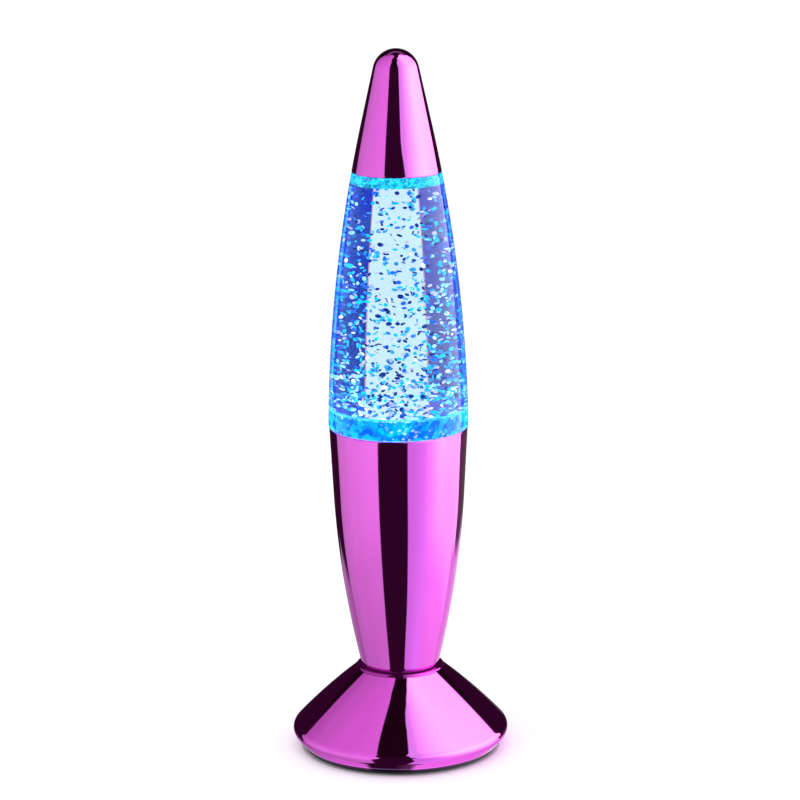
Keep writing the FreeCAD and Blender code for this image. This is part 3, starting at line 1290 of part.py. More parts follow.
def stirrer_washer():
    """Push-on washer that keeps the stirrer on its pin."""
    return ring(WASHER_RADIUS, PIN_RADIUS, WASHER_BOTTOM, WASHER_BOTTOM + WASHER_THICKNESS)


# Bottle

def bottle_shell():
    """Clear pointed bottle with a spigot below, a solid top and a filling neck."""
    foot, foot_slope, foot_touch = flank_corner(BODY_TOP_HEIGHT + BOTTLE_CORNER_ROUND,
                                                BOTTLE_CORNER_ROUND)
    head, head_slope, head_touch = flank_corner(BOTTLE_TOP_HEIGHT - BOTTLE_TOP_ROUND,
                                                BOTTLE_TOP_ROUND)
    roof = BOTTLE_ROOF_BOTTOM
    return turned((BOTTLE_SPIGOT_INNER, SPIGOT_BOTTOM), (BOTTLE_SPIGOT_RADIUS, SPIGOT_BOTTOM),
                  (BOTTLE_SPIGOT_RADIUS, BODY_TOP_HEIGHT), (foot[0], BODY_TOP_HEIGHT),
                  bend(foot, BOTTLE_CORNER_ROUND, -90, foot_slope),
                  flank_to(foot_touch[1], head_touch[1]),
                  bend(head, BOTTLE_TOP_ROUND, head_slope, 90),
                  (NECK_RADIUS, BOTTLE_TOP_HEIGHT), (NECK_RADIUS, NECK_TOP),
                  (FILLER_RADIUS, NECK_TOP), (FILLER_RADIUS, roof),
                  (flank_radius(roof, BOTTLE_WALL), roof),
                  flank_to(roof, FLOOR_TOP_HEIGHT, BOTTLE_WALL),
                  (BOTTLE_SPIGOT_INNER, FLOOR_TOP_HEIGHT))


def bottle_floor():
    """Clear plug that closes the bottle, with the stirrer's well and the drive's recess."""
    radius = BOTTLE_SPIGOT_INNER - FLOOR_CLEARANCE
    groove = BOTTLE_SPIGOT_INNER - 2 * SEAL_WIRE_RADIUS
    low = SEAL_HEIGHT - SEAL_GROOVE_WIDTH / 2
    high = SEAL_HEIGHT + SEAL_GROOVE_WIDTH / 2
    plug = turned((DRIVE_RECESS_RADIUS, FLOOR_BOTTOM), (FLOOR_FLANGE_RADIUS, FLOOR_BOTTOM),
                  (FLOOR_FLANGE_RADIUS, SPIGOT_BOTTOM), (radius, SPIGOT_BOTTOM), (radius, low),
                  (groove, low), (groove, high), (radius, high), (radius, FLOOR_TOP_HEIGHT),
                  (WELL_RADIUS, FLOOR_TOP_HEIGHT), (WELL_RADIUS, WELL_BOTTOM),
                  (PIN_BOSS_RADIUS, WELL_BOTTOM), (PIN_BOSS_RADIUS, PIN_SEAT), (0, PIN_SEAT),
                  (0, RECESS_TOP), (DRIVE_RECESS_RADIUS, RECESS_TOP))
    return plug.cut(cylinder(PIN_RADIUS, WELL_BOTTOM - PIN_SINK, PIN_SEAT))


def floor_seal():
    """Rubber ring squeezed flat between its groove and the spigot."""
    outer = BOTTLE_SPIGOT_INNER
    inner = outer - 2 * SEAL_WIRE_RADIUS
    tall = SEAL_WIRE_RADIUS + SEAT_CLEARANCE
    flat = SEAL_WIRE_RADIUS / 2
    cheek = SEAL_WIRE_RADIUS / 2
    return turned((inner, SEAL_HEIGHT - flat), (inner + cheek, SEAL_HEIGHT - tall),
                  (outer - cheek, SEAL_HEIGHT - tall), (outer, SEAL_HEIGHT - flat),
                  (outer, SEAL_HEIGHT + flat), (outer - cheek, SEAL_HEIGHT + tall),
                  (inner + cheek, SEAL_HEIGHT + tall), (inner, SEAL_HEIGHT + flat))


FLUID_BOTTOM = FLOOR_TOP_HEIGHT + FILM_CLEARANCE
FLUID_TOP = BOTTLE_ROOF_BOTTOM - FILM_CLEARANCE
FLUID_INSET = BOTTLE_WALL + FILM_CLEARANCE


def glitter_fluid():
    """The liquid above the stirrer's well, with a pocket for each flake in it."""
    liquid = turned((0, FLUID_BOTTOM), (flank_radius(FLUID_BOTTOM, FLUID_INSET), FLUID_BOTTOM),
                    flank_to(FLUID_BOTTOM, FLUID_TOP, FLUID_INSET), (0, FLUID_TOP))
    return cut(liquid, *glitter_flakes(FLAKE_CLEARANCE))


def spread(index, step):
    """Share from 0 to 1 that fills its range evenly as the index rises."""
    return math.modf(index * step)[0]


def flake(growth):
    """One flat foil flake at the origin, grown on all sides."""
    radius = FLAKE_RADIUS + growth
    height = FLAKE_THICKNESS + 2 * growth
    corners = [place(radius, 360.0 * side / FLAKE_SIDES) for side in range(FLAKE_SIDES + 1)]
    outline = Part.makePolygon([FreeCAD.Vector(x, y, -height / 2) for x, y in corners])
    return Part.Face(outline).extrude(FreeCAD.Vector(0, 0, height))


def glitter_flakes(growth=0.0):
    """Flakes afloat in the liquid, spread evenly about and thicker towards the bottom."""
    room = FLAKE_RADIUS + FLAKE_ROOM
    rise = FLUID_TOP - FLUID_BOTTOM - 2 * room
    flakes = []
    for index in range(FLAKE_COUNT):
        share = ((index + 0.5) / FLAKE_COUNT) ** FLAKE_SETTLING
        height = FLUID_BOTTOM + room + rise * share
        reach = flank_radius(height, FLUID_INSET) - room
        outward = reach * math.sqrt(spread(index, FLAKE_OUTWARD_STEP))
        x, y = place(outward, 360 * spread(index, FLAKE_TURN_STEP))
        copy = flake(growth)
        lean = FLAKE_LEAN + FLAKE_LEAN_SPREAD * spread(index, FLAKE_LEAN_STEP)
        copy.rotate(ORIGIN, FreeCAD.Vector(1, 0, 0), lean)
        copy.rotate(ORIGIN, AXIS, 360 * spread(index, FLAKE_HEADING_STEP))
        copy.translate(FreeCAD.Vector(x, y, height))
        flakes.append(copy)
    return flakes


def plug_seal():
    return ring(PLUG_HEAD_RADIUS - PLUG_CLEARANCE, FILLER_RADIUS, NECK_TOP,
                NECK_TOP + PLUG_SEAL_THICKNESS)


def filler_plug():
    """Plug of the filling hole, with a cross recess in its head."""
    seat = NECK_TOP + PLUG_SEAL_THICKNESS
    bottom = BOTTLE_ROOF_BOTTOM + PLUG_END_ROOM
    shank = FILLER_RADIUS - PLUG_CLEARANCE
    top = seat + PLUG_HEAD_HEIGHT
    bevel = PLUG_END_BEVEL
    plug = turned((0, bottom), (shank - bevel, bottom), (shank, bottom + bevel), (shank, seat),
                  (PLUG_HEAD_RADIUS, seat), (PLUG_HEAD_RADIUS, top), (0, top))
    recess = PLUG_HEAD_HEIGHT / 2
    return cut(plug, centred_box(PLUG_HEAD_RADIUS, 2 * CROSS_WIDTH, top - recess, top),
               centred_box(2 * CROSS_WIDTH, PLUG_HEAD_RADIUS, top - recess, top))


def cap_shell():
    """Pointed metallised cap that grips the bottle's neck with inner ribs."""
    corner, slope, touch = flank_corner(BOTTLE_TOP_HEIGHT + CAP_EDGE_ROUND, CAP_EDGE_ROUND)
    centre, radius, start = tip_round()
    turn = straight_start()
    outside = turned((0, BOTTLE_TOP_HEIGHT), (corner[0], BOTTLE_TOP_HEIGHT),
                     bend(corner, CAP_EDGE_ROUND, -90, slope), flank_to(touch[1], turn[1]),
                     polar(centre, radius, start), bend(centre, radius, start, 90))
    shell = outside.cut(cap_form(BOTTLE_TOP_HEIGHT, CAP_WALL))
    rib = box(NECK_RADIUS + PLUG_CLEARANCE, WIDEST_RADIUS, -CAP_RIB_WIDTH / 2,
              CAP_RIB_WIDTH / 2, BOTTLE_TOP_HEIGHT + CAP_RIB_RISE,
              BOTTLE_TOP_HEIGHT + CAP_RIB_HEIGHT)
    inside = cap_form(BOTTLE_TOP_HEIGHT, CAP_WALL / 2)
    return fused(shell, *[copy.common(inside) for copy in around(rib, CAP_RIB_COUNT)])


# Insulated leads: straight runs joined by tangent arcs

def lead(name, *points):
    """Round lead along a route of points, its bends as large as the runs allow."""
    route = [FreeCAD.Vector(*point) for point in points]
    edges = []
    radii = []
    here = route[0]
    for before, corner, after in zip(route, route[1:], route[2:]):
        arrive = (corner - before).normalize()
        leave = (after - corner).normalize()
        turn = arrive.getAngle(leave)
        shorter = min(corner.distanceToPoint(before), corner.distanceToPoint(after))
        setback = LEAD_BEND_SHARE * shorter
        radii.append(setback / math.tan(turn / 2))
        start = corner - arrive * setback
        end = corner + leave * setback
        inward = (leave - arrive).normalize()
        depth = radii[-1] * (1 / math.cos(turn / 2) - 1)
        edges.append(Part.LineSegment(here, start).toShape())
        edges.append(Part.Arc(start, corner + inward * depth, end).toShape())
        here = end
    edges.append(Part.LineSegment(here, route[-1]).toShape())
    path = Part.Wire(edges)
    section = Part.Wire(Part.makeCircle(LEAD_RADIUS, route[0], route[1] - route[0]))
    tube = Part.Solid(path.makePipeShell([section], True, True))
    ideal = math.pi * LEAD_RADIUS ** 2 * path.Length
    print(f"{name}: length {path.Length:.1f}, volume over ideal {tube.Volume / ideal:.4f}, "
          f"bend radii {[round(radius, 1) for radius in radii]}")
    return tube


def supply_points(angle):
    """Route from the base's neck up the body to the light board."""
    neck = WIRE_HOLE_RADIUS / 2
    heights = (DECK_BOTTOM - 2, BODY_FLOOR_TOP + 12)
    points = [(*place(neck, angle), height) for height in heights]
    points.append((*place(LEAD_CLIMB_SHARE * WIRE_PASS_CIRCLE, angle), BODY_FLOOR_TOP + 34))
    points.append((*place(WIRE_PASS_CIRCLE, angle), MOTOR_BOTTOM - 8))
    points.append((*place(WIRE_PASS_CIRCLE, angle), BOARD_BOTTOM))
    return points


def supply_wire_red():
    """From the switch's middle terminal up to the light board."""
    start = SWITCH_TOP + TERMINAL_LENGTH
    return lead("supply_wire_red", (0, SWITCH_Y, start), (0, SWITCH_Y, start + 6),
                (0.5, SWITCH_Y - 8, start + 12.5), (2, 12, DECK_BOTTOM - 9),
                *supply_points(SUPPLY_WIRE_ANGLE))


def supply_wire_black():
    """From the negative contact's tab up to the light board."""
    side, y = TAB_PLACES[0]
    x = side * (CONTACT_FACE + CONTACT_THICKNESS / 2)
    return lead("supply_wire_black", (x, y, TAB_TOP), (x, y, TAB_TOP + 5),
                (x + 8, y + 2, TAB_TOP + 9), (-8, -8, DECK_BOTTOM - 7),
                *supply_points(SUPPLY_WIRE_ANGLE + 180))


def switch_wire():
    """From the positive contact's tab to the switch's side terminal."""
    side, y = TAB_PLACES[1]
    x = side * (CONTACT_FACE + CONTACT_THICKNESS / 2)
    end = SWITCH_TOP + TERMINAL_LENGTH
    return lead("switch_wire", (x, y, TAB_TOP), (x, y, TAB_TOP + 4),
                (x - 8, y + 6, TAB_TOP + 6), (11, SWITCH_Y - 7.5, end + 10),
                (TERMINAL_PITCH, SWITCH_Y, end + 6), (TERMINAL_PITCH, SWITCH_Y, end))


def motor_wires():
    """From the motor's terminals, round the socket and up to the light board."""
    bottom = MOTOR_BOTTOM - MOTOR_TERMINAL_LENGTH
    loop = bottom - 12
    wires = []
    for side in (-1, 1):
        near = side * MOTOR_TERMINAL_Y
        far = side * WIRE_PASS_CIRCLE
        wires.append(lead("motor_wires", (0, near, bottom), (0, near, loop), (0, far, loop),
                          (1.5 * side, far, loop + 14), (0, far, loop + 28),
                          (0, far, BOARD_BOTTOM)))
    return wires


def build():
    """Write every node of the lamp."""
    os.makedirs("parts", exist_ok=True)
    save("foot_pads", *foot_pads())
    save("bottom_plate", bottom_plate())
    save("battery_door", battery_door())
    save("door_screw", door_screw())
    save("plate_screws", *plate_screws())
    save("base_shell", base_shell())
    for index, y in enumerate(cell_rows()):
        save(f"battery_cell_{index + 1}", battery_cell(index, y))
        save(f"contact_spring_{index + 1}", contact_spring(index, y))
    rows = cell_rows()
    save("negative_contact", tabbed_contact(*TAB_PLACES[0]))
    save("positive_contact", tabbed_contact(*TAB_PLACES[1]))
    for index in range(CELL_COUNT - 1):
        side = cell_side(index)
        save(f"bridge_contact_{index + 1}", contact_plate(side, rows[index], rows[index + 1]))
    save("switch_case", switch_case())
    save("switch_knob", switch_knob())
    save("switch_terminals", *switch_terminals())
    save("switch_screws", *switch_screws())
    save("body_shell", body_shell())
    save("body_screws", *body_screws())
    save("motor_can", motor_can())
    save("motor_end_cap", motor_end_cap())
    save("motor_bushings", *motor_bushings())
    save("motor_shaft", motor_shaft())
    save("motor_terminals", *motor_terminals())
    save("motor_frame", motor_frame())
    save("motor_retainer", motor_retainer())
    save("retainer_screws", *retainer_screws())
    save("frame_screws", *frame_screws())
    save("led_board", led_board())
    save("board_screws", *board_screws())
    for index in range(LED_COUNT):
        save(f"led_{index + 1}", led(index))
    save("board_resistors", *board_resistors())
    save("board_chip", board_chip())
    save("magnet_carrier", magnet_carrier())
    save("drive_magnets", *magnet_pair(CARRIER_TOP - DRIVE_MAGNET_HEIGHT, DRIVE_MAGNET_HEIGHT))
    save("bottle_shell", bottle_shell())
    save("bottle_floor", bottle_floor())
    save("floor_seal", floor_seal())
    save("stirrer_pin", stirrer_pin())
    save("stirrer_rotor", stirrer_rotor())
    save("stirrer_magnets", *magnet_pair(STIRRER_BOTTOM, STIRRER_MAGNET_HEIGHT))
    save("stirrer_washer", stirrer_washer())
    save("glitter_fluid", glitter_fluid())
    save("glitter_flakes", *glitter_flakes())
    save("filler_plug", filler_plug())
    save("plug_seal", plug_seal())
    save("cap_shell", cap_shell())
    save("supply_wire_red", supply_wire_red())
    save("supply_wire_black", supply_wire_black())
    save("switch_wire", switch_wire())
    save("motor_wires", *motor_wires())


if __name__ == "__main__":
    build()
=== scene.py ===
"""Looks of a battery glitter lamp, modelled round its packed construction.

The lamp stands on the XY plane with its axis on Z, in metres. The construction's own nodes keep
their places and get their finishes here. The plated skins, the clear bottle with its floor, the
liquid and the glitter are turned or copied pieces of their own."""

import enum
import json
import logging
import math
import random
from dataclasses import dataclass, field

import bpy
from mathutils import Matrix, Vector


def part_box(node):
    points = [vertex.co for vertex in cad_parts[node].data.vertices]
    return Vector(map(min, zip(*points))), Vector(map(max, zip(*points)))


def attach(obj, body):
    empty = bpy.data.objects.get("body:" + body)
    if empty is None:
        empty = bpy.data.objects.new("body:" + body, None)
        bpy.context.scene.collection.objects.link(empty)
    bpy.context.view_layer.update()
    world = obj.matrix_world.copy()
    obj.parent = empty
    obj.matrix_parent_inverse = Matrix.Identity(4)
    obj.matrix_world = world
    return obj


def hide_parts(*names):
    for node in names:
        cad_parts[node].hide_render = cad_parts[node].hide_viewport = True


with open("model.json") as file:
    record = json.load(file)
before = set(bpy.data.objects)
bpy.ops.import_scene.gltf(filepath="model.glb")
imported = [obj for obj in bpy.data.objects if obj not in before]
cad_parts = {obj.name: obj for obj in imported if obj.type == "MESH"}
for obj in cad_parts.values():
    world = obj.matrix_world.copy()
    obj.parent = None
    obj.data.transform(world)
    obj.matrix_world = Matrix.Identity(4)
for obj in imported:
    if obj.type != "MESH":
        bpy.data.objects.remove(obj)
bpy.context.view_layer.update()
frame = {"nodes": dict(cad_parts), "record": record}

LOG = logging.getLogger("glitter_lamp")

MILLIMETRE = 0.001
WHITE = (1.0, 1.0, 1.0)
UNLIT = (0.0, 0.0, 0.0)
CLEAR_TINT = (0.97, 0.985, 1.0)
PLASTIC_IOR = 1.49
LIQUID_IOR = 1.33
FULL_TURN = 2 * math.pi

Point = tuple[float, float]
Outline = list[Point]
Colour = tuple[float, float, float]
Profile = tuple[Point, ...]
Span = tuple[float, float]
Socket = bpy.types.NodeSocket


class Body(enum.Enum):
    """The body of the lamp that the new pieces ride on."""

    LAMP = "lamp"


class Slot(enum.Enum):
    """Finish slots of the record."""

    PLATED = "plated_plastic"
    CLEAR = "clear_plastic"
    LIQUID = "liquid"
    FOIL = "glitter_foil"


# Outlines

def polar(centre: Point, radius: float, degrees: float) -> Point:
    """Point at an angle on a circle of a half outline."""
    angle = math.radians(degrees)
    return centre[0] + radius * math.cos(angle), centre[1] + radius * math.sin(angle)


def arc(centre: Point, radius: float, first: float, last: float, count: int) -> Outline:
    """Points along an arc of a half outline.

    Args:
        centre: Centre of the arc, as radius and height.
        radius: Radius of the arc.
        first: Angle of its start, in degrees.
        last: Angle of its end, in degrees.
        count: Number of equal stretches.

    Returns:
        The points, both ends included.
    """
    step = (last - first) / count
    return [polar(centre, radius, first + step * index) for index in range(count + 1)]


@dataclass(frozen=True)
class PointedForm:
    """The pointed outline that the bottle and the cap share."""

    widest_radius: float
    widest_height: float
    top_radius: float
    top_height: float
    straight_height: float
    tip_height: float

    @property
    def curve(self) -> float:
        """Radius of the long arc from the widest point upwards."""
        rise = self.top_height - self.widest_height
        inward = self.widest_radius - self.top_radius
        return (rise ** 2 + inward ** 2) / (2 * inward)

    def radius(self, height: float, inset: float = 0.0) -> float:
        """Radius of the outline at a height, set inwards by an inset."""
        rise = height - self.widest_height
        return self.widest_radius - self.curve + math.sqrt((self.curve - inset) ** 2 - rise ** 2)

    def flank(self, first: float, last: float, inset: float, count: int) -> Outline:
        """Points along the arc between two heights, both ends included."""
        heights = [first + (last - first) * index / count for index in range(count + 1)]
        return [(self.radius(height, inset), height) for height in heights]

    def corner(self, height: float, edge: float) -> tuple[Point, float]:
        """Centre of an edge round against the arc, and the angle where it meets the arc."""
        slope = math.degrees(math.asin((height - self.widest_height) / (self.curve - edge)))
        return (self.radius(height, edge), height), slope

    def tip(self, inset: float, count: int) -> Outline:
        """Straight taper and round tip above the arc, from its end to the axis."""
        slope = math.asin((self.straight_height - self.widest_height) / self.curve)
        start = self.radius(self.straight_height)
        drop = (self.straight_height - self.tip_height) * math.sin(slope)
        rounding = (start * math.cos(slope) + drop) / (1 - math.sin(slope))
        centre = (0.0, self.tip_height - rounding)
        foot = polar((self.widest_radius - self.curve, self.widest_height),
                     self.curve - inset, math.degrees(slope))
        dome = arc(centre, rounding - inset, math.degrees(slope), 90, count)
        rest = [along(foot, dome[0], share / STRAIGHT_STEPS) for share in range(STRAIGHT_STEPS)]
        return rest + dome[:-1] + [(0.0, dome[-1][1])]


@dataclass(frozen=True)
class BodyForm:
    """Outline of the tapering body: a curved lower flank under a straight one."""

    foot_radius: float
    foot_height: float
    top_radius: float
    top_height: float
    taper: float
    straight_length: float

    def arc_of(self, inset: float) -> tuple[Point, float, float]:
        """Centre, radius and end angle in degrees of the lower flank."""
        lean = math.atan(self.taper)
        start = (self.top_radius - self.taper * self.straight_length,
                 self.top_height - self.straight_length)
        inward = start[0] - self.foot_radius
        drop = start[1] - self.foot_height
        offset = inward * math.cos(lean) - drop * math.sin(lean)
        curve = (inward ** 2 + drop ** 2) / (2 * offset)
        return polar(start, curve, 180 - math.degrees(lean)), curve - inset, -math.degrees(lean)

    def outline(self, inset: float, edge: float) -> Outline:
        """The flank from the foot's edge to the top's edge, with both edges rounded."""
        centre, curve, lean = self.arc_of(0)
        low_height = self.foot_height + edge
        low_angle = math.degrees(math.asin((low_height - centre[1]) / (curve - edge)))
        low = polar(centre, curve - edge, low_angle)
        high_height = self.top_height - edge
        high = (self.top_radius - edge * self.taper - edge, high_height)
        flank = arc(centre, curve - inset, low_angle, lean, FLANK_STEPS)
        edge_radius = edge - inset
        return (arc(low, edge_radius, -90, low_angle, EDGE_STEPS) + flank[1:]
                + arc(high, edge_radius, 0, 90, EDGE_STEPS))


@dataclass(frozen=True)
class BaseForm:
    """Outline of the flared base: bevelled lip, round rim, hollow flank and a bead."""

    rim_radius: float
    rim_height: float
    rim_round: float
    lip_inset: float
    lip_height: float
    neck_radius: float
    top_height: float
    flank_curve: float
    bead_round: float
    bead_sink: float

    @property
    def rim_centre(self) -> Point:
        """Centre of the rim's round."""
        return self.rim_radius - self.rim_round, self.rim_height

    @property
    def bevel_lean(self) -> float:
        """Lean in degrees of the bevel under the rim."""
        run = self.rim_centre[0] - (self.rim_radius - self.lip_inset)
        rise = self.rim_height - self.lip_height
        touch = math.asin(self.rim_round / math.hypot(run, rise))
        return math.degrees(math.atan2(rise, run) - touch)

    @property
    def flank_centre(self) -> Point:
        """Centre of the hollow flank."""
        rim = self.rim_centre
        neck = (self.neck_radius, self.top_height)
        span = math.dist(rim, neck)
        reach = self.flank_curve - self.rim_round
        share = (reach ** 2 - self.flank_curve ** 2 + span ** 2) / (2 * span)
        aside = math.sqrt(reach ** 2 - share ** 2)
        toward = math.atan2(neck[1] - rim[1], neck[0] - rim[0]) + math.atan2(aside, share)
        return polar(rim, reach, math.degrees(toward))

    def outline(self, inset: float) -> Outline:
        """The base from its lip to the top of its bead."""
        rim = self.rim_centre
        flank = self.flank_centre
        first = self.bevel_lean - 90
        crest = math.degrees(math.atan2(rim[1] - flank[1], rim[0] - flank[0]))
        tangent = polar(rim, self.rim_round - inset, first)
        reach = (tangent[1] - self.lip_height) / math.tan(math.radians(self.bevel_lean))
        lip = (tangent[0] - reach, self.lip_height)
        height = self.top_height - self.bead_round
        rise = math.asin((height - flank[1]) / (self.flank_curve - self.bead_sink))
        bead = polar(flank, self.flank_curve - self.bead_sink, math.degrees(rise))
        span = math.dist(bead, flank)
        share = (self.flank_curve ** 2 - self.bead_round ** 2 + span ** 2) / (2 * span)
        aside = math.sqrt(self.flank_curve ** 2 - share ** 2)
        lean = math.atan2(bead[1] - flank[1], bead[0] - flank[0])
        crease_angle = math.degrees(lean - math.atan2(aside, share))
        crease = polar(flank, self.flank_curve, crease_angle)
        start = math.degrees(math.atan2(crease[1] - bead[1], crease[0] - bead[0]))
        side = arc(flank, self.flank_curve - inset, crest, crease_angle, FLANK_STEPS)
        return ([lip] + arc(rim, self.rim_round - inset, first, crest, RIM_STEPS) + side[1:]
                + arc(bead, self.bead_round - inset, start, 90, EDGE_STEPS)[1:])


def along(first: Point, last: Point, share: float) -> Point:
    """Point on the straight line between two points."""
    return first[0] + (last[0] - first[0]) * share, first[1] + (last[1] - first[1]) * share


STRAIGHT_STEPS = 6
FLANK_STEPS = 48
RIM_STEPS = 20
EDGE_STEPS = 8
DOME_STEPS = 28
TURN_STEPS = 256
SMOOTH_ANGLE = math.radians(32)
WELD_DISTANCE = 0.000002

BASE_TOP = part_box("base_shell")[1].z
BODY_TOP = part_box("body_shell")[1].z
CAP_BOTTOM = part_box("cap_shell")[0].z
LAMP_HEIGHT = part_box("cap_shell")[1].z
ROOF_BOTTOM = CAP_BOTTOM - 4.5 * MILLIMETRE
FLOOR_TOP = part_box("bottle_floor")[1].z
FLOOR_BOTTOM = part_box("bottle_floor")[0].z

POINTED = PointedForm(widest_radius=33.03 * MILLIMETRE, widest_height=BODY_TOP - 8.5 * MILLIMETRE,
                      top_radius=20.947 * MILLIMETRE, top_height=CAP_BOTTOM,
                      straight_height=CAP_BOTTOM + 22 * MILLIMETRE, tip_height=LAMP_HEIGHT)
BODY = BodyForm(foot_radius=18.453 * MILLIMETRE, foot_height=BASE_TOP + 0.4 * MILLIMETRE,
                top_radius=32.58 * MILLIMETRE, top_height=BODY_TOP, taper=0.053,
                straight_length=31.5 * MILLIMETRE)
BASE = BaseForm(rim_radius=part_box("base_shell")[1].x, rim_height=8.95 * MILLIMETRE,
                rim_round=4.16 * MILLIMETRE, lip_inset=4.85 * MILLIMETRE,
                lip_height=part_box("base_shell")[0].z, neck_radius=19.523 * MILLIMETRE,
                top_height=BASE_TOP, flank_curve=280.7 * MILLIMETRE,
                bead_round=0.85 * MILLIMETRE, bead_sink=0.38 * MILLIMETRE)


# Modelling

def turn(name: str, outline: Outline, steps: int = TURN_STEPS) -> bpy.types.Object:
    """Turns a closed half outline about the lamp's axis.

    Args:
        name: Name of the new piece.
        outline: Points as radius and height. The last one is joined to the first.
        steps: Number of stretches round the axis.

    Returns:
        The closed, smoothly shaded piece.
    """
    bpy.ops.object.select_all(action="DESELECT")
    start = Vector((outline[0][0], 0, outline[0][1]))
    bpy.ops.mesh.primitive_plane_add(size=MILLIMETRE, location=start)
    piece = bpy.context.object
    piece.name = name
    bpy.ops.object.transform_apply(location=True)
    bpy.ops.object.mode_set(mode="EDIT")
    bpy.ops.mesh.merge(type="CENTER")
    for here, there in zip(outline, outline[1:] + outline[:1]):
        move = (there[0] - here[0], 0, there[1] - here[1])
        bpy.ops.mesh.extrude_vertices_move(TRANSFORM_OT_translate={"value": move})
    bpy.ops.mesh.select_all(action="SELECT")
    bpy.ops.mesh.spin(steps=steps, angle=FULL_TURN, center=(0, 0, 0), axis=(0, 0, 1))
    bpy.ops.mesh.select_all(action="SELECT")
    bpy.ops.mesh.remove_doubles(threshold=WELD_DISTANCE)
    bpy.ops.mesh.normals_make_consistent(inside=False)
    bpy.ops.object.mode_set(mode="OBJECT")
    bpy.ops.object.shade_smooth_by_angle(angle=SMOOTH_ANGLE)
    return piece


def fit(piece: bpy.types.Object, material: bpy.types.Material, body: Body) -> None:
    """Gives a finished piece its material and its body, and reports it."""
    piece.data.name = piece.name
    piece.data.materials.clear()
    piece.data.materials.append(material)
    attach(piece, body.value)
    LOG.info("%s: %d faces, rides on %s", piece.name, len(piece.data.polygons), body.value)


# Shading

class Wiring:
    """Short calls that place and join the nodes of one tree."""

    def __init__(self, tree: bpy.types.NodeTree) -> None:
        """Keeps the tree to work on."""
        self.tree = tree

    def node(self, kind: str, inputs: dict | None = None, **settings) -> bpy.types.Node:
        """Adds one node.

        Args:
            kind: Blender's name of the node type.
            inputs: Values or sockets by the name or number of the input.
            **settings: Properties of the node itself.

        Returns:
            The new node.
        """
        made = self.tree.nodes.new(kind)
        for name, value in settings.items():
            setattr(made, name, value)
        self.feed(made, inputs or {})
        return made

    def feed(self, node: bpy.types.Node, inputs: dict) -> None:
        """Gives each input, by its name or number, a value or a link from a socket."""
        for name, value in inputs.items():
            if isinstance(value, Socket):
                self.tree.links.new(value, node.inputs[name])
            else:
                node.inputs[name].default_value = value

    def maths(self, operation: str, *values: float | Socket) -> Socket:
        """Result of a Math node on up to three values."""
        return self.node("ShaderNodeMath", dict(enumerate(values)), operation=operation).outputs[0]

    def product(self, first: float | Socket, *others: float | Socket) -> Socket:
        """Product of two or more values."""
        for other in others:
            first = self.maths("MULTIPLY", first, other)
        return first

    def ramp(self, value: Socket, low: float, high: float, start: float = 0.0,
             end: float = 1.0) -> Socket:
        """Value mapped smoothly from the stretch low to high onto start to end."""
        inputs = {0: value, 1: low, 2: high, 3: start, 4: end}
        return self.node("ShaderNodeMapRange", inputs, interpolation_type="SMOOTHSTEP").outputs[0]

    def step(self, value: Socket, place: float, soft: float, falling: bool = False) -> Socket:
        """Soft step of a value at a place, up or down."""
        ends = (1.0, 0.0) if falling else (0.0, 1.0)
        return self.ramp(value, place - soft, place + soft, *ends)

    def past(self, value: Socket, line: Profile, height: Socket, soft: float,
             falling: bool = False) -> Socket:
        """Soft step of a value where it passes a profile by height."""
        beyond = self.maths("SUBTRACT", value, self.profile(height, line))
        return self.step(beyond, 0.0, soft, falling)

    def profile(self, value: Socket, line: Profile) -> Socket:
        """Value read off a line through a few points, smooth between them."""
        total = line[0][1]
        for (low, first), (high, last) in zip(line, line[1:]):
            total = self.maths("ADD", self.ramp(value, low, high, 0.0, last - first), total)
        return total

    def scale(self, value: Socket, stops: tuple[tuple[float, Colour], ...]) -> Socket:
        """Colour read off a scale of stops."""
        node = self.node("ShaderNodeValToRGB", {0: value})
        elements = node.color_ramp.elements
        elements.remove(elements[1])
        elements[0].position = stops[0][0]
        elements[0].color = (*stops[0][1], 1)
        for place, colour in stops[1:]:
            elements.new(place).color = (*colour, 1)
        return node.outputs[0]

    def blend(self, share: float | Socket, first: Colour | Socket, second: Colour | Socket,
              kind: str = "MIX") -> Socket:
        """Colour between two colours."""
        inputs = {0: share, 6: first if isinstance(first, Socket) else (*first, 1),
                  7: second if isinstance(second, Socket) else (*second, 1)}
        return self.node("ShaderNodeMix", inputs, data_type="RGBA", blend_type=kind).outputs[2]

    def object_place(self, stretch: Colour = WHITE) -> Socket:
        """Object coordinates, stretched by a factor along each axis."""
        place = self.node("ShaderNodeTexCoord").outputs["Object"]
        if stretch == WHITE:
            return place
        return self.node("ShaderNodeMapping", {"Vector": place, "Scale": stretch}).outputs[0]

    def axis(self, name: str) -> Socket:
        """One of the object coordinates."""
        return self.node("ShaderNodeSeparateXYZ", {0: self.object_place()}).outputs[name]

    def noise(self, place: Socket, scale: float | Socket, detail: float,
              distortion: float = 0.0) -> Socket:
        """Value of a noise texture."""
        inputs = {"Vector": place, "Scale": scale, "Detail": detail, "Distortion": distortion}
        return self.node("ShaderNodeTexNoise", inputs).outputs[0]

    def cells(self, place: Socket, scale: Socket, **settings) -> bpy.types.NodeOutputs:
        """Outputs of a Voronoi texture."""
        return self.node("ShaderNodeTexVoronoi", {"Vector": place, "Scale": scale},
                         **settings).outputs


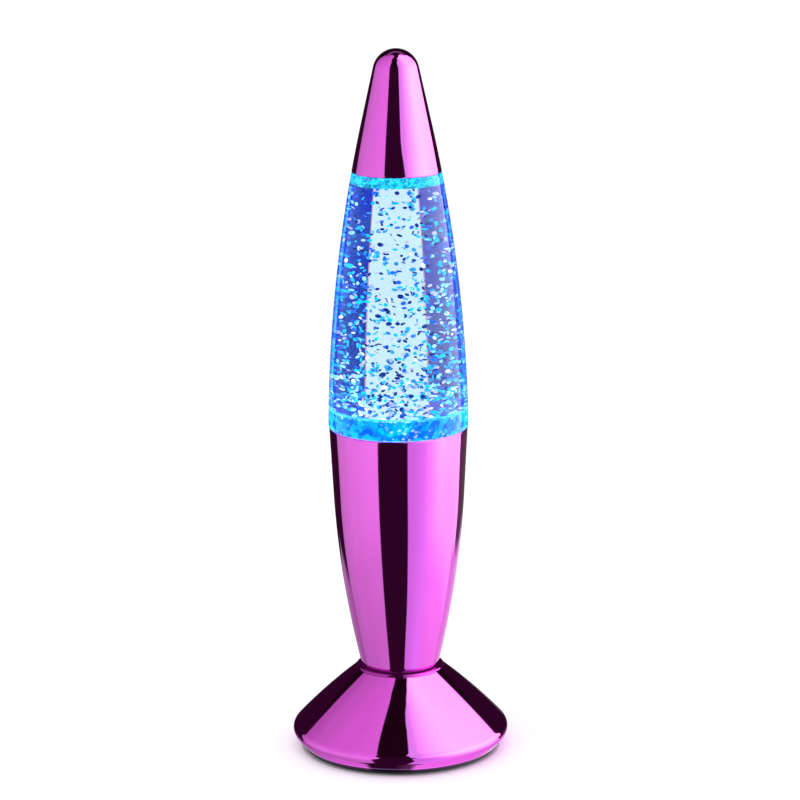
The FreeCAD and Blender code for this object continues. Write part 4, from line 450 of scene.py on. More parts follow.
class EffectGroup:
    """A shared shader effect as a node group with named inputs and outputs."""

    name: str = ""
    inputs: dict[str, float] = {}
    outputs: tuple[str, ...] = ("Height", "Mask")

    def tree(self) -> bpy.types.NodeTree:
        """The group, built at its first use."""
        found = bpy.data.node_groups.get(self.name)
        if found:
            return found
        made = bpy.data.node_groups.new(self.name, "ShaderNodeTree")
        made.interface.new_socket("Vector", in_out="INPUT", socket_type="NodeSocketVector")
        for name, value in self.inputs.items():
            socket = made.interface.new_socket(name, in_out="INPUT", socket_type="NodeSocketFloat")
            socket.default_value = value
        for name in self.outputs:
            made.interface.new_socket(name, in_out="OUTPUT", socket_type="NodeSocketFloat")
        wiring = Wiring(made)
        source = wiring.node("NodeGroupInput").outputs
        results = self.build(wiring, source)
        wiring.node("NodeGroupOutput", results)
        return made

    def build(self, wiring: Wiring, source: bpy.types.NodeOutputs) -> dict[str, Socket]:
        """Nodes inside the group, and the sockets it puts out by name."""
        raise NotImplementedError

    def place(self, wiring: Wiring, **values: float | Socket) -> bpy.types.Node:
        """The group as a node of a material, with its own values."""
        return wiring.node("ShaderNodeGroup", values, node_tree=self.tree())


class MouldedGrain(EffectGroup):
    """Fine spark-eroded grain of a mould, with slow blotches from the flow of the plastic."""

    name = "moulded_grain"
    inputs = {"Fineness": 3000.0, "Blotches": 60.0}

    def build(self, wiring: Wiring, source: bpy.types.NodeOutputs) -> dict[str, Socket]:
        """Fine noise as height and slow noise as mask."""
        fine = wiring.noise(source["Vector"], source["Fineness"], 2.0)
        slow = wiring.noise(source["Vector"], source["Blotches"], 4.0)
        return {"Height": fine, "Mask": wiring.ramp(slow, 0.35, 0.65)}


class DrawnStreaks(EffectGroup):
    """Fine marks of a drawn, turned or brushed surface."""

    name = "drawn_streaks"
    inputs = {"Fineness": 900.0, "Spots": 400.0}

    def build(self, wiring: Wiring, source: bpy.types.NodeOutputs) -> dict[str, Socket]:
        """Noise as height and a spotty mask of handling."""
        streaks = wiring.noise(source["Vector"], source["Fineness"], 3.0)
        spots = wiring.noise(source["Vector"], source["Spots"], 5.0)
        return {"Height": streaks, "Mask": wiring.ramp(spots, 0.42, 0.62)}


class FingerMarks(EffectGroup):
    """Faint smudges and hair scratches on a polished surface."""

    name = "finger_marks"
    inputs = {"Smudges": 30.0, "Scratches": 500.0}

    def build(self, wiring: Wiring, source: bpy.types.NodeOutputs) -> dict[str, Socket]:
        """Smudges as mask, and scratches where a wave of cells crosses as height."""
        smudge = wiring.noise(source["Vector"], source["Smudges"], 6.0, 0.6)
        cells = wiring.cells(source["Vector"], source["Scratches"], feature="DISTANCE_TO_EDGE")
        scratch = wiring.ramp(cells[0], 0.0, 0.02, 1.0, 0.0)
        return {"Height": scratch, "Mask": wiring.ramp(smudge, 0.45, 0.75)}


class GlowCells(EffectGroup):
    """Painted light in clear plastic: soft blocks of glow with bright specks between."""

    name = "glow_cells"
    inputs = {"Blocks": 200.0, "Specks": 700.0}
    outputs = ("Blocks", "Specks", "Cloud")

    def build(self, wiring: Wiring, source: bpy.types.NodeOutputs) -> dict[str, Socket]:
        """Blocks, specks and a slow cloud, each from 0 to 1."""
        cells = wiring.node("ShaderNodeTexVoronoi", {"Vector": source["Vector"],
                                                     "Scale": source["Blocks"],
                                                     "Smoothness": 0.25}, feature="SMOOTH_F1")
        tone = wiring.node("ShaderNodeSeparateColor", {0: cells.outputs["Color"]}).outputs[0]
        dots = wiring.cells(source["Vector"], source["Specks"])
        cloud = wiring.noise(source["Vector"], 60.0, 3.0)
        return {"Blocks": wiring.ramp(tone, 0.3, 0.7),
                "Specks": wiring.ramp(dots[0], 0.22, 0.34, 1.0, 0.0),
                "Cloud": wiring.ramp(cloud, 0.35, 0.65)}


MOULDED_GRAIN = MouldedGrain()
DRAWN_STREAKS = DrawnStreaks()
FINGER_MARKS = FingerMarks()
GLOW_CELLS = GlowCells()


def new_material(name: str) -> tuple[bpy.types.Material, Wiring, bpy.types.Node]:
    """An empty node material, its wiring and its Principled shader."""
    material = bpy.data.materials.new(name)
    material.use_nodes = True
    material.node_tree.nodes.clear()
    material.cycles.emission_sampling = "NONE"
    wiring = Wiring(material.node_tree)
    shader = wiring.node("ShaderNodeBsdfPrincipled")
    wiring.node("ShaderNodeOutputMaterial", {"Surface": shader.outputs[0]})
    return material, wiring, shader


@dataclass(frozen=True)
class SolidFinish:
    """An opaque finish with two tones, a roughness range and a fine relief."""

    name: str
    colour: Colour
    second: Colour
    roughness: Span = (0.4, 0.55)
    relief: float = 0.00001
    fineness: float = 3000.0
    blotches: float = 80.0
    metallic: float = 0.0
    coat: float = 0.0
    specular: float = 0.5
    effect: EffectGroup = MOULDED_GRAIN
    bump_strength: float = 0.6

    def material(self) -> bpy.types.Material:
        """The finish as a material."""
        made, wiring, shader = new_material(self.name)
        group = self.effect.place(wiring, Vector=wiring.object_place())
        wiring.feed(group, {1: self.fineness, 2: self.blotches})
        mask = group.outputs["Mask"]
        bump = wiring.node("ShaderNodeBump", {"Height": group.outputs["Height"],
                                              "Strength": self.bump_strength,
                                              "Distance": self.relief})
        wiring.feed(shader, {"Base Color": wiring.blend(mask, self.colour, self.second),
                             "Roughness": wiring.ramp(mask, 0, 1, *self.roughness),
                             "Normal": bump.outputs[0], "Metallic": self.metallic,
                             "Specular IOR Level": self.specular, "Coat Weight": self.coat})
        return made


@dataclass(frozen=True)
class CellFinish:
    """Printed wrap of a battery cell, with a bright band and bare steel at either end."""

    name: str
    wrap: Colour
    band: Colour
    steel: Colour
    steel_from: float
    band_from: float
    band_to: float
    soft: float = 0.2 * MILLIMETRE
    roughness: Span = (0.2, 0.38)
    metallic: float = 0.6
    coat: float = 0.4

    def material(self) -> bpy.types.Material:
        """The wrap, by the distance from the middle of the bay."""
        made, wiring, shader = new_material(self.name)
        far = wiring.maths("ABSOLUTE", wiring.axis("X"))
        marks = FINGER_MARKS.place(wiring, Vector=wiring.object_place())
        band = wiring.product(wiring.ramp(far, self.band_from, self.band_from + self.soft),
                              wiring.ramp(far, self.band_to - self.soft, self.band_to, 1.0, 0.0))
        end = wiring.ramp(far, self.steel_from, self.steel_from + self.soft)
        tone = wiring.blend(end, wiring.blend(band, self.wrap, self.band), self.steel)
        rough = wiring.ramp(marks.outputs["Mask"], 0, 1, *self.roughness)
        wiring.feed(shader, {"Base Color": tone, "Roughness": rough,
                             "Metallic": self.metallic, "Coat Weight": self.coat})
        return made


@dataclass(frozen=True)
class HeightBand:
    """A stretch of height with a look of its own."""

    low: float
    high: float
    fade: float = field(default=0.3 * MILLIMETRE, kw_only=True)

    def mask(self, wiring: Wiring, height: Socket) -> Socket:
        """1 within the stretch, fading out beyond both ends."""
        rise = wiring.ramp(height, self.low - self.fade, self.low)
        fall = wiring.ramp(height, self.high, self.high + self.fade, 1.0, 0.0)
        return wiring.product(rise, fall)


@dataclass(frozen=True)
class PaintedLightBand(HeightBand):
    """A stretch of painted light: a darker tone painted as shade, and an emission painted as a
    highlight.
    """

    # tone is the painted shade, glow the painted highlight
    tone: Colour
    glow: Colour = UNLIT


@dataclass(frozen=True)
class PlatedFinish:
    """Tinted metal film under a clear lacquer."""

    name: str
    colour: Colour
    second: Colour
    roughness: Span = (0.025, 0.06)
    lacquer: float = 0.2
    lacquer_roughness: float = 0.02
    smudges: float = 45.0
    smudge_share: float = 0.6
    scratches: float = 320.0
    scratch_strength: float = 0.05
    scratch_depth: float = 0.000001
    flow: float = 30.0
    flow_depth: float = 0.00008
    edge: Colour = (1.0, 0.75, 1.0)
    # Bands of painted shade and painted highlight, by height.
    painted_light_bands: tuple[PaintedLightBand, ...] = ()
    narrowing: Profile = ()
    narrowed: Span = (0.45, 0.75)

    def material(self) -> bpy.types.Material:
        """The film, with faint smudges in its gloss and the flow of the plastic under it."""
        made, wiring, shader = new_material(self.name)
        marks = FINGER_MARKS.place(wiring, Vector=wiring.object_place(), Smudges=self.smudges,
                                   Scratches=self.scratches)
        smudge = wiring.product(marks.outputs["Mask"], self.smudge_share)
        height = wiring.axis("Z")
        wave = wiring.node("ShaderNodeBump",
                           {"Height": wiring.noise(wiring.object_place(), self.flow, 1.0),
                            "Strength": 1.0, "Distance": self.flow_depth,
                            "Normal": self.normal(wiring, height)})
        bump = wiring.node("ShaderNodeBump",
                           {"Height": marks.outputs["Height"], "Strength": self.scratch_strength,
                            "Distance": self.scratch_depth, "Normal": wave.outputs[0]})
        tone = wiring.blend(smudge, self.colour, self.second)
        glow = UNLIT
        # Painted light: each band darkens the tone as shade and adds its emission as a highlight.
        for band in self.painted_light_bands:
            mask = band.mask(wiring, height)
            tone = wiring.blend(mask, tone, band.tone)
            glow = wiring.blend(mask, glow, band.glow)
        if self.painted_light_bands:
            wiring.feed(shader, {"Emission Color": glow, "Emission Strength": 1.0})
        wiring.feed(shader, {"Base Color": tone, "Normal": bump.outputs[0], "Metallic": 1.0,
                             "Roughness": wiring.ramp(smudge, 0, 1, *self.roughness),
                             "Specular Tint": (*self.edge, 1), "Coat Weight": self.lacquer,
                             "Coat Roughness": self.lacquer_roughness})
        return made

    def normal(self, wiring: Wiring, height: Socket) -> Socket:
        """Surface normal, turned aside by height so that a reflected gap looks narrower."""
        normal = wiring.node("ShaderNodeNewGeometry").outputs["Normal"]
        if not self.narrowing:
            return normal
        turned = wiring.node("ShaderNodeSeparateXYZ", {0: normal}).outputs["X"]
        front = wiring.ramp(wiring.maths("ABSOLUTE", turned), *self.narrowed, 1.0, 0.0)
        wider = wiring.maths("SUBTRACT", wiring.profile(height, self.narrowing), 1.0)
        wider = wiring.maths("ADD", wiring.product(wider, front), 1.0)
        aside = wiring.node("ShaderNodeCombineXYZ", {0: wider, 1: 1.0, 2: 1.0})
        wide = wiring.node("ShaderNodeVectorMath", {0: normal, 1: aside.outputs[0]},
                           operation="MULTIPLY")
        return wiring.node("ShaderNodeVectorMath", {0: wide.outputs[0]},
                           operation="NORMALIZE").outputs[0]


@dataclass(frozen=True)
class PaintedGlowZone(HeightBand):
    """A stretch in which clear plastic carries a painted glow in place of the lamp's broken light.
    """

    deep: Colour
    light: Colour
    speck: Colour
    tint: Colour = (0.1, 0.4, 0.7)
    blocks: float = 700.0
    specks: float = 1300.0


@dataclass(frozen=True)
class Rim:
    """Looks of clear plastic that is seen edge on: a tint, and a glow that is a painted edge
    highlight.

    The place runs from 0, seen square on, to 1, seen along the surface."""

    place: float
    tint: Colour
    glow: Colour = UNLIT


@dataclass(frozen=True)
class ClearFinish:
    """Clear plastic with a painted glow in some zones, and a tint and painted edge glow seen edge
    on.
    """

    name: str
    zones: tuple[PaintedGlowZone, ...]
    stretch: Colour
    rims: tuple[Rim, ...] = (Rim(0.5, CLEAR_TINT), Rim(1.0, CLEAR_TINT))
    clearness: float = 1.0
    roughness: Span = (0.0, 0.03)
    reflection: float = 0.1

    def material(self) -> bpy.types.Material:
        """Transmitting plastic with a painted glow."""
        made, wiring, shader = new_material(self.name)
        height = wiring.axis("Z")
        facing = wiring.node("ShaderNodeLayerWeight", {"Blend": 0.5}).outputs["Facing"]
        tint = wiring.scale(facing, tuple((rim.place, rim.tint) for rim in self.rims))
        edge = wiring.scale(facing, tuple((rim.place, rim.glow) for rim in self.rims))
        glow = UNLIT
        for zone in self.zones:
            cells = GLOW_CELLS.place(wiring, Vector=wiring.object_place(self.stretch),
                                     Blocks=zone.blocks, Specks=zone.specks).outputs
            few = wiring.product(cells["Specks"], cells["Cloud"])
            mask = zone.mask(wiring, height)
            tone = wiring.blend(cells["Blocks"], zone.deep, zone.light)
            glow = wiring.blend(mask, glow, wiring.blend(few, tone, zone.speck))
            tint = wiring.blend(mask, tint, zone.tint)
        marks = FINGER_MARKS.place(wiring, Vector=wiring.object_place())
        # Emission: the zones' painted glow plus the painted edge glow by facing.
        wiring.feed(shader, {"Base Color": tint,
                             "Emission Color": wiring.blend(1.0, glow, edge, "ADD"),
                             "Roughness": wiring.ramp(marks.outputs["Mask"], 0, 1,
                                                      *self.roughness),
                             "Specular Tint": (*(self.reflection,) * 3, 1),
                             "Emission Strength": 1.0, "Transmission Weight": self.clearness,
                             "IOR": PLASTIC_IOR})
        return made


@dataclass(frozen=True)
class LiquidFinish:
    """Blue liquid with a painted glow for the lamp's light, most of it on its far side, behind the
    flakes.
    """

    name: str
    bottom: float
    top: float
    high_glow: Colour
    low_glow: Colour
    cloud_glow: Colour
    tint: Colour
    near_share: float = 0.35
    reflection: float = 0.15
    cloud_scale: float = 38.0
    cloud_from: Span = (0.42, 0.66)

    def material(self) -> bpy.types.Material:
        """Transmitting liquid with a painted glow that changes with height."""
        made, wiring, shader = new_material(self.name)
        share = wiring.ramp(wiring.axis("Z"), self.bottom, self.top)
        cloud = wiring.noise(wiring.object_place(), self.cloud_scale, 2.0)
        glow = wiring.blend(share, self.low_glow, self.high_glow)
        glow = wiring.blend(wiring.ramp(cloud, *self.cloud_from), glow, self.cloud_glow)
        # Painted glow split by side: weak on the near face, strong on the far face behind the
        # flakes.
        far = wiring.node("ShaderNodeNewGeometry").outputs["Backfacing"]
        level = wiring.ramp(far, 0, 1, self.near_share, 2 - self.near_share)
        wiring.feed(shader, {"Base Color": (*self.tint, 1),
                             "Emission Color": wiring.blend(1.0, glow, level, "MULTIPLY"),
                             "Specular Tint": (*(self.reflection,) * 3, 1),
                             "Emission Strength": 1.0, "Transmission Weight": 1.0,
                             "IOR": LIQUID_IOR, "Roughness": 0.0})
        return made


# Attribute with each flake's tint, which is also its painted glint.
FLAKE_TINT_AND_GLINT = "flake_tint_and_glint"


@dataclass(frozen=True)
class FlakeFinish:
    """Foil flakes, each with a painted glint, an emission in the tint of its own attribute."""

    name: str
    glow: float
    dull: Colour = (0.3, 0.45, 0.6)
    dull_share: float = 0.3
    roughness: Span = (0.15, 0.4)
    metallic: float = 0.5

    def material(self) -> bpy.types.Material:
        """Satin foil with a painted glint, an emission in its tint."""
        made, wiring, shader = new_material(self.name)
        tint = wiring.node("ShaderNodeAttribute", attribute_name=FLAKE_TINT_AND_GLINT).outputs["Color"]
        grain = MOULDED_GRAIN.place(wiring, Vector=wiring.object_place(), Fineness=4000.0,
                                    Blotches=900.0).outputs
        share = wiring.product(grain["Mask"], self.dull_share)
        wiring.feed(shader, {"Base Color": wiring.blend(share, tint, self.dull),
                             "Roughness": wiring.ramp(grain["Height"], 0, 1, *self.roughness),
                             "Metallic": self.metallic, "Emission Color": tint,
                             "Emission Strength": self.glow})
        return made


# Stage

@dataclass(frozen=True)
class SideCard:
    """A light card on one side of the lamp, at bearings between two lines by height.

    The hand is -1 on the left and 1 on the right. The gap is how far the card stays off the
    middle overhead, by how far a ray runs to the front. Its level goes by height and falls off
    by bearing. A level of 1 is white, and higher ones are brighter than the floor looks."""

    hand: float
    near: Profile
    far: Profile
    gap: Profile
    level: Profile
    fall: Profile
    soft: float = 1.2
    gap_soft: float = 0.01
    level_ground: Span = (0.0, 0.05)

    def mask(self, wiring: Wiring, bearing: Socket, axes: bpy.types.NodeOutputs) -> Socket:
        """Mask of the card. Rays that run down don't see the gap."""
        left = self.hand < 0
        near = wiring.past(bearing, self.near, axes["Z"], self.soft, falling=left)
        far = wiring.past(bearing, self.far, axes["Z"], self.soft, falling=not left)
        front = wiring.product(axes["Y"], -1.0)
        width = wiring.product(axes["Z"], wiring.profile(front, self.gap))
        aside = wiring.maths("SUBTRACT", wiring.product(axes["X"], self.hand), width)
        clear = wiring.step(aside, 0.0, self.gap_soft)
        low = wiring.step(axes["Z"], *self.level_ground, falling=True)
        return wiring.product(near, far, wiring.maths("MAXIMUM", clear, low))

    def brightness(self, wiring: Wiring, bearing: Socket, height: Socket) -> Socket:
        """Level of the card."""
        return wiring.product(wiring.profile(height, self.level),
                              wiring.profile(bearing, self.fall))


@dataclass(frozen=True)
class LightCards:
    """Light cards round the lamp, as gloss and glass see them.

    Bearings are in degrees from the front, positive to the right. Heights are sines of the
    elevation. A dark gap between the left and the right card faces the lamp's front, and
    narrows to a gap overhead. The edge of the lit floor goes by its place aside. Soft steps are
    given as a place and how far they reach to both sides."""

    left: SideCard = SideCard(
        -1.0, near=((-0.97, -75), (-0.88, -42), (-0.7, -34.5), (-0.35, -36), (0.1, -31),
                    (0.3, -33), (0.77, -32), (0.97, -46)),
        far=((-0.45, -126), (-0.34, -128), (-0.25, -125), (0.4, -130.5)),
        gap=((0.1, 0.12), (0.17, 0.186), (0.25, 0.25), (0.29, 0.24), (0.33, 0.2), (0.38, 0.17)),
        level=((-0.62, 0.86), (-0.5, 0.98), (-0.35, 1.2), (-0.18, 1.28), (0.2, 1.12),
               (0.6, 1.03), (0.95, 0.95)),
        fall=((-127, 0.58), (-112, 0.74), (-89, 0.88), (-45, 1.0)))
    right: SideCard = SideCard(
        1.0, near=((-0.72, 14), (-0.56, 17), (-0.2, 15), (0.0, 16), (0.19, 23), (0.28, 13),
                   (0.5, 12), (0.7, 8), (0.84, 5)),
        far=((-0.32, 131.5), (-0.23, 127), (-0.14, 124), (-0.05, 130)),
        gap=((0.08, 0.17), (0.14, 0.137), (0.2, 0.105), (0.26, 0.079), (0.29, 0.08),
             (0.33, 0.095), (0.4, 0.108)),
        level=((-0.65, 1.25), (-0.5, 1.5), (-0.35, 3.0), (-0.2, 3.9), (0.2, 5.6), (0.5, 4.6),
               (0.9, 4.2)),
        fall=((80, 1.0), (125, 0.85)))
    left_low: Colour = (1.0, 1.2, 1.02)
    left_high: Colour = (1.06, 0.95, 1.06)
    left_high_from: Span = (0.25, 0.1)
    violet_low: Colour = (0.94, 1.14, 1.15)
    violet_high: Colour = (1.1, 1.8, 1.3)
    violet_high_from: Span = (0.03, 0.1)
    violet_rise: Profile = ((20.0, 1.0), (50.0, 1.25))
    right_start: Profile = ((-0.1, 42), (0.15, 22))
    right_end: float = 82.0
    middle: Span = (0.0, 0.05)
    back_from: Span = (122.0, 4.0)
    dark_high_from: Span = (0.4, 0.05)
    dark_aside_below: Span = (-0.12, 0.05)
    dark_low: Colour = (0.036, 0.01, 0.026)
    dark_high: Colour = (0.017, 0.005, 0.01)
    dark_aside: Colour = (0.13, 0.15, 0.1)
    dark_through: Colour = (0.006, 0.012, 0.02)
    through: Colour = (0.3, 0.75, 0.95)
    through_left: Colour = (0.07, 0.28, 0.5)
    floor_edge: Profile = ((-0.85, -0.46), (-0.78, -0.438), (-0.735, -0.412), (-0.68, -0.385),
                           (-0.6, -0.355), (-0.45, -0.32), (0.2, -0.285), (0.35, -0.298),
                           (0.5, -0.33), (0.6, -0.345), (0.75, -0.36))
    floor_soft: float = 0.015
    floor_sunk: float = 0.07
    floor_tone_left: Profile = ((-0.85, 0.95), (-0.5, 0.5))
    floor_tone_right: Profile = ((-0.85, 1.25), (-0.5, 1.05))
    shadow: Profile = ((-0.2, -0.935), (0.2, -0.982))
    shadow_soft: float = 0.008
    top_from: Span = (0.79, 0.03)
    top_to: Span = (0.905, 0.03)
    top_tone: Colour = (0.3, 0.3, 0.3)
    behind: Span = (-0.213, 0.235)
    behind_soft: float = 0.004
    behind_above: Span = (-0.5, 0.02)
    rear_from: Span = (0.0, 0.02)
    rear_wall_soft: float = 0.02
    rear_wall_end: Span = (-0.75, 0.05)
    rear_left: Colour = (0.17, 0.12, 0.05)
    fringe: float = 0.012
    fringe_tone: Colour = (1.0, 0.38, 0.03)

    def colour(self, wiring: Wiring, through: Socket) -> Socket:
        """Colour of the surroundings in the direction of a ray.

        Args:
            wiring: The world's nodes.
            through: 1 for a ray that went through glass.

        Returns:
            The colour.
        """
        direction = wiring.node("ShaderNodeTexCoord").outputs["Generated"]
        axes = wiring.node("ShaderNodeSeparateXYZ", {0: direction}).outputs
        x, z = axes["X"], axes["Z"]
        angle = wiring.maths("ARCTAN2", x, wiring.product(axes["Y"], -1.0))
        bearing = wiring.maths("DEGREES", angle)
        back = wiring.step(wiring.maths("ABSOLUTE", bearing), *self.back_from)
        dark = self.dark(wiring, x, z, back, through)
        tone = wiring.blend(self.left.mask(wiring, bearing, axes), dark,
                            self.left_tone(wiring, bearing, z, through))
        tone = wiring.blend(self.right.mask(wiring, bearing, axes), tone,
                            self.right_tone(wiring, bearing, z, through))
        sunk = wiring.maths("ADD", z, wiring.product(through, self.floor_sunk))
        tone = self.floor_behind(wiring, x, sunk, back, tone)
        high = wiring.product(wiring.step(z, *self.top_from),
                              wiring.step(z, *self.top_to, falling=True), back)
        tone = wiring.blend(high, tone, self.top_tone)
        tone = self.card_behind(wiring, axes, through, tone)
        return wiring.blend(wiring.past(z, self.shadow, x, self.shadow_soft), dark, tone)

    def dark(self, wiring: Wiring, x: Socket, z: Socket, back: Socket, through: Socket) -> Socket:
        """Colour of the dark between the cards, paler low on the right at the back."""
        dark = wiring.blend(wiring.step(z, *self.dark_high_from), self.dark_low, self.dark_high)
        low = wiring.product(wiring.step(x, *self.middle),
                             wiring.step(z, *self.dark_aside_below, falling=True), back)
        dark = wiring.blend(low, dark, self.dark_aside)
        return wiring.blend(through, dark, self.dark_through)

    def left_tone(self, wiring: Wiring, bearing: Socket, z: Socket, through: Socket) -> Socket:
        """Colour of the left card, which darkens towards its far edge."""
        tint = wiring.blend(wiring.step(z, *self.left_high_from), self.left_low, self.left_high)
        tone = wiring.blend(1.0, tint, self.left.brightness(wiring, bearing, z), "MULTIPLY")
        return wiring.blend(through, tone, self.through_left)

    def right_tone(self, wiring: Wiring, bearing: Socket, z: Socket, through: Socket) -> Socket:
        """Colour of the right card, violet at its near edge and brightest above."""
        violet = wiring.blend(wiring.step(z, *self.violet_high_from), self.violet_low,
                              self.violet_high)
        (low, first), (high, last) = self.violet_rise
        violet = wiring.blend(1.0, violet, wiring.ramp(bearing, low, high, first, last),
                              "MULTIPLY")
        share = wiring.ramp(bearing, wiring.profile(z, self.right_start), self.right_end)
        tone = wiring.blend(share, violet, self.right.brightness(wiring, bearing, z))
        return wiring.blend(through, tone, self.through)

    def floor_behind(self, wiring: Wiring, x: Socket, z: Socket, back: Socket,
                     tone: Socket) -> Socket:
        """The lit floor behind the lamp, dimmer on the left, over the tone."""
        lit = wiring.blend(wiring.step(x, *self.middle), wiring.profile(z, self.floor_tone_left),
                           wiring.profile(z, self.floor_tone_right))
        low = wiring.past(z, self.floor_edge, x, self.floor_soft, falling=True)
        return wiring.blend(wiring.product(back, low), tone, lit)

    def card_behind(self, wiring: Wiring, axes: bpy.types.NodeOutputs, through: Socket,
                    tone: Socket) -> Socket:
        """Narrow white card straight behind the lamp, seen through glass alone."""
        x = axes["X"]
        low, high = self.behind
        rear = wiring.product(wiring.step(axes["Y"], *self.rear_from), through,
                              wiring.step(axes["Z"], *self.behind_above))

        def strip(wider: float) -> Socket:
            """Mask of the card, made wider on both sides."""
            first = wiring.step(x, low - wider, self.behind_soft)
            last = wiring.step(x, high + wider, self.behind_soft, falling=True)
            return wiring.product(first, last, rear)

        wall = wiring.product(wiring.step(x, low, self.rear_wall_soft, falling=True),
                              wiring.step(x, *self.rear_wall_end), rear)
        tone = wiring.blend(wall, tone, self.rear_left)
        tone = wiring.blend(strip(self.fringe), tone, self.fringe_tone)
        return wiring.blend(strip(0.0), tone, WHITE)


@dataclass(frozen=True)
class Studio:
    """Pale floor, even light for matt surfaces, light cards for gloss, and the camera."""

    camera_distance: float = 1.437
    camera_height: float = 0.505
    camera_pitch: float = 13.14
    camera_aside: float = 0.0008
    camera_roll: float = -0.404
    focal_pixels: float = 3139.0
    frame_pixels: float = 800.0
    sensor: float = 36.0
    floor_size: float = 30.0
    floor_colour: Colour = (0.93, 0.93, 0.935)
    floor_lift: float = 0.2
    lift_from: Span = (0.047, 0.048)
    floor_roughness: Span = (0.8, 0.9)
    plain_level: float = 0.87
    lamp_size: float = 0.9
    lamp_height: float = 1.3
    lamp_watts: float = 3.0
    lamp_aside: Span = (-0.2, -0.3)

    def build(self) -> None:
        """Makes camera, world, floor and lamp."""
        self.camera()
        self.world()
        self.floor()
        self.overhead()
        settings = bpy.context.scene.view_settings
        settings.view_transform = "Standard"

    def camera(self) -> None:
        """Camera at the photograph's place and angle."""
        data = bpy.data.cameras.new("photo_camera")
        data.sensor_width = self.sensor
        data.lens = self.focal_pixels / self.frame_pixels * self.sensor
        eye = bpy.data.objects.new("photo_camera", data)
        eye.location = (self.camera_aside, -self.camera_distance, self.camera_height)
        pitch = Matrix.Rotation(math.radians(90 - self.camera_pitch), 3, "X")
        roll = Matrix.Rotation(math.radians(self.camera_roll), 3, "Z")
        eye.rotation_euler = (pitch @ roll).to_euler()
        bpy.context.scene.collection.objects.link(eye)
        bpy.context.scene.camera = eye

    def world(self) -> None:
        """Even light for matt surfaces, and the studio's light cards for gloss and glass."""
        world = bpy.data.worlds.new("studio")
        bpy.context.scene.world = world
        world.use_nodes = True
        world.node_tree.nodes.clear()
        world.cycles.sampling_method = "NONE"
        wiring = Wiring(world.node_tree)
        path = wiring.node("ShaderNodeLightPath").outputs
        panels = LightCards().colour(wiring, path["Is Transmission Ray"])
        sharp = wiring.maths("MAXIMUM", path["Is Glossy Ray"], path["Is Transmission Ray"])
        level = (self.plain_level,) * 3
        ground = wiring.blend(path["Is Camera Ray"], level, WHITE)
        colour = wiring.blend(sharp, ground, panels)
        light = wiring.node("ShaderNodeBackground", {"Color": colour, "Strength": 1.0})
        wiring.node("ShaderNodeOutputWorld", {"Surface": light.outputs[0]})

    def floor(self) -> None:
        """Pale floor that keeps the lamp's soft shadow and can be looked through from below."""
        bpy.ops.object.select_all(action="DESELECT")
        bpy.ops.mesh.primitive_plane_add(size=self.floor_size)
        floor = bpy.context.object
        floor.name = "pale_floor"
        floor.visible_glossy = False
        floor.visible_transmission = False
        material, wiring, shader = new_material("pale_floor")
        grain = MOULDED_GRAIN.place(wiring, Vector=wiring.object_place(), Fineness=400.0,
                                    Blotches=3.0)
        camera = wiring.node("ShaderNodeLightPath").outputs["Is Camera Ray"]
        away = wiring.node("ShaderNodeVectorMath", {0: wiring.object_place()},
                           operation="LENGTH").outputs["Value"]
        # The camera-ray lift starts only at about 47 mm from the axis, so the floor at the lamp's
        # edge keeps a deeper painted contact shade.
        lift = wiring.ramp(away, *self.lift_from, 0.0, self.floor_lift)
        wiring.feed(shader, {"Base Color": (*self.floor_colour, 1), "Specular IOR Level": 0.0,
                             "Roughness": wiring.ramp(grain.outputs["Mask"], 0, 1,
                                                      *self.floor_roughness),
                             "Emission Color": (*WHITE, 1),
                             "Emission Strength": wiring.product(camera, lift)})
        clear = wiring.node("ShaderNodeBsdfTransparent")
        below = wiring.node("ShaderNodeNewGeometry").outputs["Backfacing"]
        surface = wiring.node("ShaderNodeMixShader", {0: below, 1: shader.outputs[0],
                                                      2: clear.outputs[0]})
        wiring.feed(wiring.tree.nodes["Material Output"], {"Surface": surface.outputs[0]})
        floor.data.materials.append(material)

    def overhead(self) -> None:
        """One large soft lamp overhead, which gives the shadow its shape."""
        data = bpy.data.lights.new("overhead_softbox", "AREA")
        data.size = self.lamp_size
        data.energy = self.lamp_watts
        lamp = bpy.data.objects.new("overhead_softbox", data)
        lamp.location = (*self.lamp_aside, self.lamp_height)
        toward = Vector((0, 0, LAMP_HEIGHT / 2)) - lamp.location
        lamp.rotation_euler = toward.to_track_quat("-Z", "Y").to_euler()
        lamp.visible_camera = False
        lamp.visible_glossy = False
        lamp.visible_transmission = False
        bpy.context.scene.collection.objects.link(lamp)


# Sub-assemblies

MAGENTA = (0.69, 0.098, 0.645)
HANDLED = (0.66, 0.108, 0.62)
MAGENTA_FILM = PlatedFinish(
    "magenta_plating", MAGENTA, HANDLED,
    # The band paints the body's foot darker by the seam, as painted shade, with a faint painted
    # glow.
    painted_light_bands=(PaintedLightBand(BASE_TOP, BASE_TOP + 1.0 * MILLIMETRE, (0.35, 0.03, 0.3),
                    (0.04, 0.002, 0.03)),))
BASE_FILM = PlatedFinish(
    "magenta_plating_base", MAGENTA, HANDLED, edge=(0.9, 0.45, 0.88),
    narrowing=((5 * MILLIMETRE, 0.92), (6.5 * MILLIMETRE, 0.95), (7.8 * MILLIMETRE, 1.0),
               (8.8 * MILLIMETRE, 1.12), (9.9 * MILLIMETRE, 1.4), (10.9 * MILLIMETRE, 1.15),
               (11.5 * MILLIMETRE, 1.0)),
    # Painted light: near black up to 3 mm as contact shadow, a lilac emission line as highlight, a
    # darker bead as shade.
    painted_light_bands=(PaintedLightBand(0.0, 3.0 * MILLIMETRE, (0.004, 0.001, 0.005)),
           PaintedLightBand(3.2 * MILLIMETRE, 3.6 * MILLIMETRE, MAGENTA, (0.1, 0.06, 0.15)),
           PaintedLightBand(BASE_TOP - 1.2 * MILLIMETRE, BASE_TOP, (0.3, 0.03, 0.26),
                    (0.02, 0.001, 0.016))))
